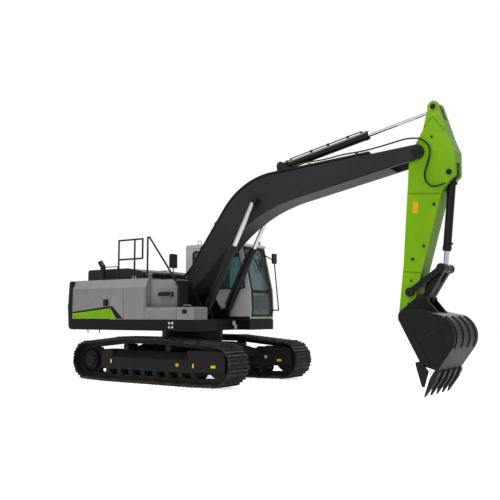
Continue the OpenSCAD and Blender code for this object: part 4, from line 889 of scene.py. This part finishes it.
class EXCAVATOR_OT_cab_fittings(Fitting, bpy.types.Operator):
    """Adds window seals, screen border, wiper, door handle, roof lamps, aerial and trim to the cab"""
    bl_idname = "excavator.cab_fittings"
    bl_label = "Cab fittings"

    def build(self, sizes):
        right, left = CAB_RIGHT, SIDE
        side = [(-0.37, 1.95), (1.09, 1.95), (0.89, 2.81), (-0.37, 2.81)]
        quarter = [(-0.49, 1.95), (-0.185, 1.95), (-0.185, 2.81), (-0.49, 2.81)]
        rear = [(0.535, 1.95), (1.265, 1.95), (1.265, 2.81), (0.535, 2.81)]
        door = [(-0.005, 1.80), (0.995, 1.80), (1.0, 1.92), (0.805, 2.74), (-0.005, 2.74)]
        for name, body, loop in (
                ("lower_screen", "upper", screen_strip(right + 0.09, left - 0.09, 1.365, 1.86, 6, 0.001)),
                ("upper_screen", "upper", screen_strip(right + 0.09, left - 0.09, 1.90, 2.83, 6, 0.001)),
                ("right_window", "upper", rounded(upright(right - 0.001, side), 0.06)),
                ("left_window", "upper", upright(left + 0.001, quarter)),
                ("rear_window", "upper", [at(-0.581, y, z) for y, z in rear]),
                ("door_window", "cab_door", upright(left + 0.001, door))):
            dress(tube(f"seal_{name}", loop, sizes.seal, closed=True), body, "rubber", 60)
        bars = []
        for z0, z1 in ((1.335, 1.372), (1.853, 1.907), (2.823, 2.862)):
            ends = [(right + 0.06, z0), (left - 0.06, z0), (left - 0.06, z1), (right + 0.06, z1)]
            outline = [at(screen_x(z) + 0.0015, y, z) for y, z in ends]
            bars.append(plate("screen_bar", outline, (0.006, 0, 0), 0.002))
        for y0, y1 in ((right + 0.045, right + 0.10), (left - 0.10, left - 0.045)):
            bars.append(plate("screen_bar", screen_strip(y0, y1, 1.335, 2.862, 10, 0.0015), (0.006, 0, 0)))
        dress(joined("screen_border", bars), "upper", "rubber")
        foot = at(screen_x(1.93) + 0.03, 1.17, 1.93)
        head = at(screen_x(2.62) + 0.032, 0.82, 2.62)
        ahead, lean = Vector((0.012, 0, 0)), (head - foot).normalized()
        wiper = [tube("wiper_arm", [foot, foot + ahead, head], 0.008),
                 tube("wiper_blade", [head + lean * t - ahead for t in (-0.36, 0.20)], 0.011),
                 drum("wiper_hub", foot - Vector((0.03, 0, 0)), foot + Vector((0.016, 0, 0)), 0.03)]
        dress(joined("screen_wiper", wiper), "upper", "rubber")
        path = grip(at(0.93, left, 1.62), at(0.93, left, 1.78), (0, 0.05, 0), 0.02)
        dress(tube("door_handle", path, 0.011), "cab_door", "plastic")
        for y, name in ((0.595, "right"), (1.205, "left")):
            low, high = at(0.852, y - 0.073, 2.966), at(0.9365, y + 0.073, 3.038)
            dress(block(f"roof_lamp_shell_{name}", low, high, 0.01, 3))
            low, high = at(0.934, y - 0.058, 2.975), at(0.943, y + 0.058, 3.028)
            dress(block(f"roof_lamp_glass_{name}", low, high, 0.004), "upper", "lamp")
        ring = [p for p, _ in circle_of(at(-0.30, 0.60, 3.02), (0, 1, 0), 0.055, 24)]
        aerial = [drum("aerial_foot", at(-0.30, 0.60, 2.94), at(-0.30, 0.60, 2.975), 0.03),
                  tube("aerial_ring", ring, 0.007, closed=True)]
        dress(joined("aerial", aerial), "upper", "plastic")
        sill = [(-0.575, 1.283), (1.20, 1.283), (1.215, 1.34), (-0.575, 1.34)]
        trim = plate("cab_sill_trim", upright(right - 0.0005, sill), (0, -0.004, 0))
        dress(trim)


def cushion(name, low, high, crown, lean=0.0):
    """A crowned pad whose sides pull in between its corners, with two sewn channels across it."""
    low, high = Vector(low), Vector(high)
    fresh()
    bpy.ops.mesh.primitive_cube_add(size=1.0)
    piece = named(name)
    editing()
    bpy.ops.mesh.bevel(offset=0.12, segments=3, affect="EDGES")
    bpy.ops.mesh.select_all(action="SELECT")
    bpy.ops.mesh.subdivide(number_cuts=3)
    mode("OBJECT")
    half, middle = (high - low) / 2, (low + high) / 2
    thin = min(range(3), key=lambda i: half[i])
    long = [i for i in range(3) if i != thin]
    for corner in piece.data.vertices:
        c = corner.co * 2
        swell = (1 - c[long[0]] ** 2) * (1 - c[long[1]] ** 2)
        groove = sum(math.exp(-((c[1] - s) / 0.10) ** 2) for s in (-0.42, 0.42))
        c[thin] *= 1 + crown * max(swell, 0) - 0.16 * groove * (abs(c[1]) < 0.98)
        for i, other in (long, long[::-1]):
            c[i] *= 1 - 0.05 * (1 - c[other] ** 2)
        corner.co = middle + Vector((c[0] * half[0] + lean * c[2] * half[2], c[1] * half[1], c[2] * half[2]))
    fresh(piece)
    smooth = piece.modifiers.new("soft", "SUBSURF")
    smooth.levels = smooth.render_levels = 1
    bpy.ops.object.modifier_apply(modifier="soft")
    return piece


class EXCAVATOR_OT_driver_seat(Fitting, bpy.types.Operator):
    """Builds the driver's seat with padded cushions in place of its solid"""
    bl_idname = "excavator.driver_seat"
    bl_label = "Driver's seat"

    def build(self, sizes):
        low, high = (Vector(p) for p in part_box("seat"))

        def spot(x, y, z):
            return low.x + x, (low.y + high.y) / 2 + y, low.z + z

        stand = [block("seat_box", spot(0.15, -0.19, 0), spot(0.55, 0.19, 0.17), 0.02)]
        for i in range(4):
            rise = 0.17 + 0.028 * i
            stand.append(drum("seat_bellows", spot(0.33, 0, rise), spot(0.33, 0, rise + 0.03),
                              0.17 - 0.012 * (i % 2), 0.006))
        stand.append(block("seat_pan", spot(0.10, -0.215, 0.275), spot(0.61, 0.215, 0.305), 0.01))
        dress(joined("seat_stand", stand), "upper", "plastic")
        pads = [cushion("seat_cushion", spot(0.08, -0.22, 0.305), spot(0.615, 0.22, 0.42), 0.16),
                cushion("seat_back", spot(0.075, -0.215, 0.41), spot(0.195, 0.215, 0.98), 0.2, -0.2),
                cushion("seat_headrest", spot(0.012, -0.135, 0.99), spot(0.10, 0.135, 1.185), 0.2, -0.1)]
        for pad in pads:
            dress(pad, "upper", "cloth", 60)
        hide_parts("seat")


class EXCAVATOR_OT_cab_controls(Fitting, bpy.types.Operator):
    """Adds lever knobs, arm rests and a display inside the cab"""
    bl_idname = "excavator.cab_controls"
    bl_label = "Cab controls"

    def build(self, sizes):
        for s, name in SIDES:
            y = (CAB_RIGHT + SIDE) / 2 + s * 0.31
            knob = [drum("lever", at(0.33, y, 2.0), at(0.345, y, 2.12), 0.022, end_radius=0.03),
                    block("rest", at(-0.12, y - 0.05, 1.8205), at(0.24, y + 0.05, 1.87), 0.02)]
            dress(joined(f"lever_knob_{name}", knob), "upper", "plastic")
        blocks((
            ("display_shell", (0.98, 0.515, 1.90), (1.02, 0.70, 2.06), 0.01, 2, "upper", "plastic"),
            ("display_face", (0.974, 0.53, 1.915), (0.981, 0.685, 2.045), 0.003, 2, "upper", "screen")))
        stalk = filleted([at(1.0, 0.60, 1.905), at(1.0, 0.60, 1.80), at(1.05, 0.506, 1.70)], 0.05)
        dress(tube("display_stalk", stalk, 0.014), "upper", "plastic")


def beside(base, way, along, side, up):
    """A point along a cylinder from its pin, moved to one side and out from its middle line."""
    return base + way * along + Vector((-way.z, 0, way.x)) * up + Vector((0, side, 0))


class EXCAVATOR_OT_cylinder_fittings(Fitting, bpy.types.Operator):
    """Adds steel pipes, clamps and gland bolts to the cylinders"""
    bl_idname = "excavator.cylinder_fittings"
    bl_label = "Cylinder fittings"

    def build(self, sizes):
        for body, slide, piped, eye, radius, span, places in (
                ("boom_cylinders", "boom_rods_slide", True, 0.08, 0.075, 1.54, BOOM_CYLINDERS),
                ("arm_cylinder", "arm_rod_slide", True, 0.085, 0.082, 1.91, (0.0,)),
                ("bucket_cylinder", "bucket_rod_slide", False, 0.08, 0.070, 1.35, (0.0,))):
            base, way = pin(f"{body}_pivot"), Vector(JOINTS[slide]["axis"]).normalized()
            base.y = 0
            for i, y in enumerate(places):
                if piped:
                    ends = (eye + 0.095, 0.01), (eye + 0.095, 0.036), (span - 0.13, 0.036), (span - 0.13, 0.01)
                    stem = [beside(base, way, along, y, radius + lift) for along, lift in ends]
                    parts = [tube("line", filleted(stem, 0.05), sizes.pipe, sides=2)]
                    for share in (0.35, 0.55, 0.78):
                        foot, head = (beside(base, way, span * share, y, radius + lift) for lift in (-0.004, 0.052))
                        clamp = block("clamp", (-0.016, -0.024, 0), (0.016, 0.024, (head - foot).length), 0.004)
                        clamp.matrix_world = stood(foot, head - foot)
                        fresh(clamp)
                        settle()
                        parts.append(clamp)
                    dress(joined(f"{body}_pipe_{i}", parts), body, "cylinder")
                ring = circle_of(beside(base, way, span - 0.001, y, 0), way, radius - 0.022, 8)
                bolts(f"{body}_gland_bolts_{i}", ring, 0.008, body)


def top_of(node, x, y):
    """Height of a solid's top above a place."""
    hit, place, _, _ = frame["nodes"][node].ray_cast(at(x, y, 8.0), Vector(DOWN))
    if not hit:
        raise RuntimeError(f"{node} has no top at {x}, {y}")
    return place.z


class EXCAVATOR_OT_hoses(Fitting, bpy.types.Operator):
    """Runs the hoses from the deck to the boom and from the boom to the arm"""
    bl_idname = "excavator.hoses"
    bl_label = "Hoses"

    def build(self, sizes):
        foot = [(0.247, 2.546), (0.16, 2.425), (0.04, 2.30), (-0.09, 2.18), (-0.19, 2.01), (-0.235, 1.80),
                (-0.24, 1.60), (-0.24, 1.30)]
        for i, y in enumerate((-0.225, -0.18)):
            self.hose(f"boom_hose_{i}", upright(y, foot), sizes.hose, "upper", "boom",
                      at(-0.24, 0, 1.60), at(0.16, 0, 2.42))
        along = [(2.70, -0.225, 0.075), (3.0, -0.235, 0.10), (3.4, -0.235, 0.085), (3.8, -0.235, 0.10),
                 (4.2, -0.235, 0.088), (4.55, -0.235, 0.10)]
        nose = [(4.98, -0.228, 4.485), (5.10, -0.225, 4.492), (5.20, -0.225, 4.485), (5.33, -0.225, 4.455),
                (5.45, -0.222, 4.345), (5.487, -0.218, 4.20), (5.447, -0.216, 4.03), (5.385, -0.216, 3.84),
                (5.402, -0.216, 3.70), (5.49, -0.216, 3.605), (5.60, -0.216, 3.59), (5.70, -0.205, 3.615),
                (5.775, -0.14, 3.655), (5.80, -0.085, 3.665)]
        route = [at(x, y, top_of("boom", x, y) + lift) for x, y, lift in along] + [at(*p) for p in nose]
        self.hose("arm_hose_right", route, sizes.hose * 0.85, "boom", "arm", at(5.10, 0, 4.475), at(5.47, 0, 4.30))

    def hose(self, name, points, radius, start_body, end_body, start, end):
        path = flowing(points, 6)
        made = dress(tube(name, path, radius), None, "rubber", 60)
        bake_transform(made)


class EXCAVATOR_OT_front_fittings(Fitting, bpy.types.Operator):
    """Adds weld beads, pin caps, studs, rod eyes and a blank plate to the boom, the arm and the rods"""
    bl_idname = "excavator.front_fittings"
    bl_label = "Boom and arm fittings"

    def build(self, sizes):
        bands = (("upper", (5.058, 3.515), (5.655, 3.455)), ("lower", (4.945, 2.13), (5.262, 2.10)))
        studs = ((5.52, 4.474, 0.022), (5.53, 3.279, 0.026), (5.33, 2.564, 0.024), (5.124, 2.343, 0.026),
                 (5.086, 1.969, 0.02), (5.03, 1.562, 0.02))
        pins = (("rod", ARM_EYE, 0.200, 0.050), ("base", (5.80799, 3.81672), 0.200, 0.050),
                ("tipping", (5.07144, 1.76681), 0.2602, 0.038))
        lean = Matrix.Rotation(math.radians(ARM_LEAN), 3, "Y")
        for s, name in SIDES:
            for label, (x0, z0), (x1, z1) in bands:
                ends = (x0, z0 - 0.006), (x1, z1 - 0.006), (x1, z1 + 0.006), (x0, z0 + 0.006)
                outline = upright(s * (ARM_SIDE + 0.0002), ends)
                made = plate(f"weld_band_{label}_{name}", outline, (0, s * 0.003, 0), 0.001)
                dress(made, "arm", "lime_line")
            seam = [pin("arm") + lean @ Vector((x, s * (ARM_SIDE + 0.001), z)) for x, z in NOSE_SEAM]
            dress(tube(f"nose_weld_{name}", filleted(seam, 0.05), 0.005), "arm", "lime_line", 60)
            for body, reach in (("arm", 0.262), ("boom", 0.333)):
                centre = pin(body)
                centre.y = s * reach
                face = pin_head(f"pin_cap_{body}_{name}", centre, s, 0.085, 0.014, 0.004, body)
                ring = circle_of(face, (0, s, 0), 0.0527, 3)
                bolts(f"pin_bolts_{body}_{name}", ring, sizes.small_bolt, body)
            made = [drum("stud", at(x, s * (ARM_SIDE - 0.0005), z), at(x, s * (ARM_SIDE + 0.017), z), radius)
                    for x, z, radius in studs]
            dress(joined(f"arm_studs_{name}", made), "arm")
            for label, (x, z), reach, radius in pins:
                pin_head(f"arm_pin_{label}_{name}", at(x, s * reach, z), s, radius, 0.008, 0.003, "arm")
            face = pin_head(f"cylinder_pin_{name}", at(0.65, s * 0.3912, 1.42), s, 0.062, 0.012, 0.004, "upper")
            ring = circle_of(face, (0, s, 0), 0.038, 3)
            bolts(f"cylinder_pin_bolts_{name}", ring, sizes.small_bolt, "upper")
        ends = (5.14, 3.155), (5.235, 3.145), (5.25, 3.345), (5.155, 3.355)
        made = plate("blank_plate", upright(-ARM_SIDE - 0.0002, ends), (0, -sizes.film, 0))
        dress(made, "arm", "amber")
        for body, (x, z), radius, half, places in (("boom_rods", BOOM_EYE, 0.082, 0.031, BOOM_CYLINDERS),
                                                   ("arm_rod", ARM_EYE, 0.087, 0.0715, (0.0,)),
                                                   ("bucket_rod", BUCKET_EYE, 0.077, 0.0565, (0.0,))):
            eyes = [drum("eye", at(x, y - half, z), at(x, y + half, z), radius, 0.005) for y in places]
            eyes += [drum("eye_pin", at(x, y + s * half, z), at(x, y + s * (half + 0.006), z), 0.045, 0.002)
                     for y in places for s, _ in SIDES if s * y > 0]
            dress(joined(f"{body}_eyes", eyes), body, "cylinder")


class EXCAVATOR_OT_bucket_fittings(Fitting, bpy.types.Operator):
    """Bolts the side cutters and ribs the side plates of the bucket"""
    bl_idname = "excavator.bucket_fittings"
    bl_label = "Bucket fittings"

    def build(self, sizes):
        hinge = pin("bucket")
        hinge.y = 0
        places = [(hinge + Vector((x, s * (BUCKET_SIDE + 0.025), z)), (0, s, 0)) for s, _ in SIDES
                  for x, z in ((0.385, -0.80), (0.43, -0.86), (0.40, -0.93), (0.46, -0.80))]
        bolts("cutter_bolts", places, sizes.bolt, "bucket")
        ribs = []
        for s, _ in SIDES:
            for ends in (((0.385, -0.410), (0.850, -0.158)), ((0.655, -0.773), (0.830, -0.543))):
                low, high = (hinge + Vector((x, s * (BUCKET_SIDE - 0.0005), z)) for x, z in ends)
                across = (high - low).cross((0, 1, 0)).normalized() * 0.017
                outline = [low - across, high - across, high + across, low + across]
                ribs.append(plate("rib", outline, (0, s * 0.0115, 0), 0.004))
        dress(joined("bucket_ribs", ribs), "bucket", "bucket")


class EXCAVATOR_OT_undercarriage_fittings(Fitting, bpy.types.Operator):
    """Adds ring, drive and roller bolts, blank plates and the swivel joint to the undercarriage"""
    bl_idname = "excavator.undercarriage_fittings"
    bl_label = "Undercarriage fittings"

    def build(self, sizes):
        places = []
        for s, _ in SIDES:
            for reach, radius, count in ((0.13, 0.168, 12), (0.165, 0.095, 6)):
                places += circle_of(at(-1.73, s * (TRACK_MIDDLE + reach), 0.42), (0, s, 0), radius, count)
        bolts("drive_bolts", places, sizes.bolt, "undercarriage")
        bolts("ring_bolts", circle_of(at(0, 0, 0.905), DOWN, 0.63, 30), sizes.bolt, "upper")
        rollers = [(i - 3.5) * 0.33 for i in range(8)]
        places = [(at(x + d, s * (TRACK_MIDDLE + FRAME_HALF + 0.0005), 0.285), (0, s, 0)) for s, _ in SIDES
                  for x in rollers for d in (-0.035, 0.035)]
        bolts("roller_bolts", places, sizes.small_bolt, "undercarriage")
        for label, y, rows in (
                ("frame", -TRACK_MIDDLE - FRAME_HALF, (
                    (-1.062, 0.413, 0.035, 0.08, "yellow"), (0.753, 0.403, 0.075, 0.06, "amber"),
                    (1.155, 0.401, 0.035, 0.08, "yellow"), (1.638, 0.402, 0.11, 0.045, "yellow"))),
                ("inner", TRACK_MIDDLE - FRAME_HALF, (
                    (1.591, 0.40, 0.11, 0.045, "yellow"), (1.252, 0.462, 0.055, 0.06, "pale")))):
            for i, (x, z, width, height, look) in enumerate(rows):
                outline = rectangle(at(x, y - 0.0004, z), (width / 2, 0, 0), (0, 0, height / 2))
                made = plate(f"{label}_plate_{i}", outline, (0, -sizes.film, 0))
                dress(made, "undercarriage", look)
        swivel = [drum("swivel", at(0, 0, 0.62), at(0, 0, 0.86), 0.12)]
        for turn in (45, 135, 225, 315):
            u, v = math.cos(math.radians(turn)), math.sin(math.radians(turn))
            swivel.append(drum("swivel_port", at(0.1 * u, 0.1 * v, 0.70), at(0.19 * u, 0.19 * v, 0.70), 0.028))
        swivel.append(drum("swivel_foot", at(0, 0, 0.5105), at(0, 0, 0.63), 0.20))
        dress(joined("swivel_joint", swivel), "undercarriage", "engine")


SETTINGS = {"excavator_paint": ExcavatorPaint, "excavator_sizes": ExcavatorSizes, "excavator_stage": ExcavatorStage}
OPERATORS = (
    EXCAVATOR_OT_stage, EXCAVATOR_OT_finishes, EXCAVATOR_OT_stripes, EXCAVATOR_OT_housing_fittings,
    EXCAVATOR_OT_deck_fittings, EXCAVATOR_OT_tail_fittings, EXCAVATOR_OT_mirror_glass, EXCAVATOR_OT_cab_fittings,
    EXCAVATOR_OT_driver_seat, EXCAVATOR_OT_cab_controls, EXCAVATOR_OT_cylinder_fittings, EXCAVATOR_OT_hoses,
    EXCAVATOR_OT_front_fittings, EXCAVATOR_OT_bucket_fittings, EXCAVATOR_OT_undercarriage_fittings)


class EXCAVATOR_PT_sidebar(bpy.types.Panel):
    """Lists the steps, the colours and the sizes"""
    bl_label = "Excavator"
    bl_idname = "EXCAVATOR_PT_sidebar"
    bl_space_type = "VIEW_3D"
    bl_region_type = "UI"
    bl_category = "Excavator"

    def draw(self, context):
        column = self.layout.column()
        for kind in OPERATORS:
            column.operator(kind.bl_idname)
        for key, kind in SETTINGS.items():
            for name in kind.__annotations__:
                column.prop(getattr(context.scene, key), name)


CLASSES = (*SETTINGS.values(), *OPERATORS, EXCAVATOR_PT_sidebar)


def register():
    for kind in CLASSES:
        bpy.utils.register_class(kind)
    for key, kind in SETTINGS.items():
        setattr(bpy.types.Scene, key, PointerProperty(type=kind))


def unregister():
    for key in SETTINGS:
        delattr(bpy.types.Scene, key)
    for kind in reversed(CLASSES):
        bpy.utils.unregister_class(kind)


def main():
    register()
    for kind in OPERATORS:
        getattr(bpy.ops.excavator, kind.bl_idname.partition(".")[2])()
    fresh()


if __name__ == "__main__":
    main()
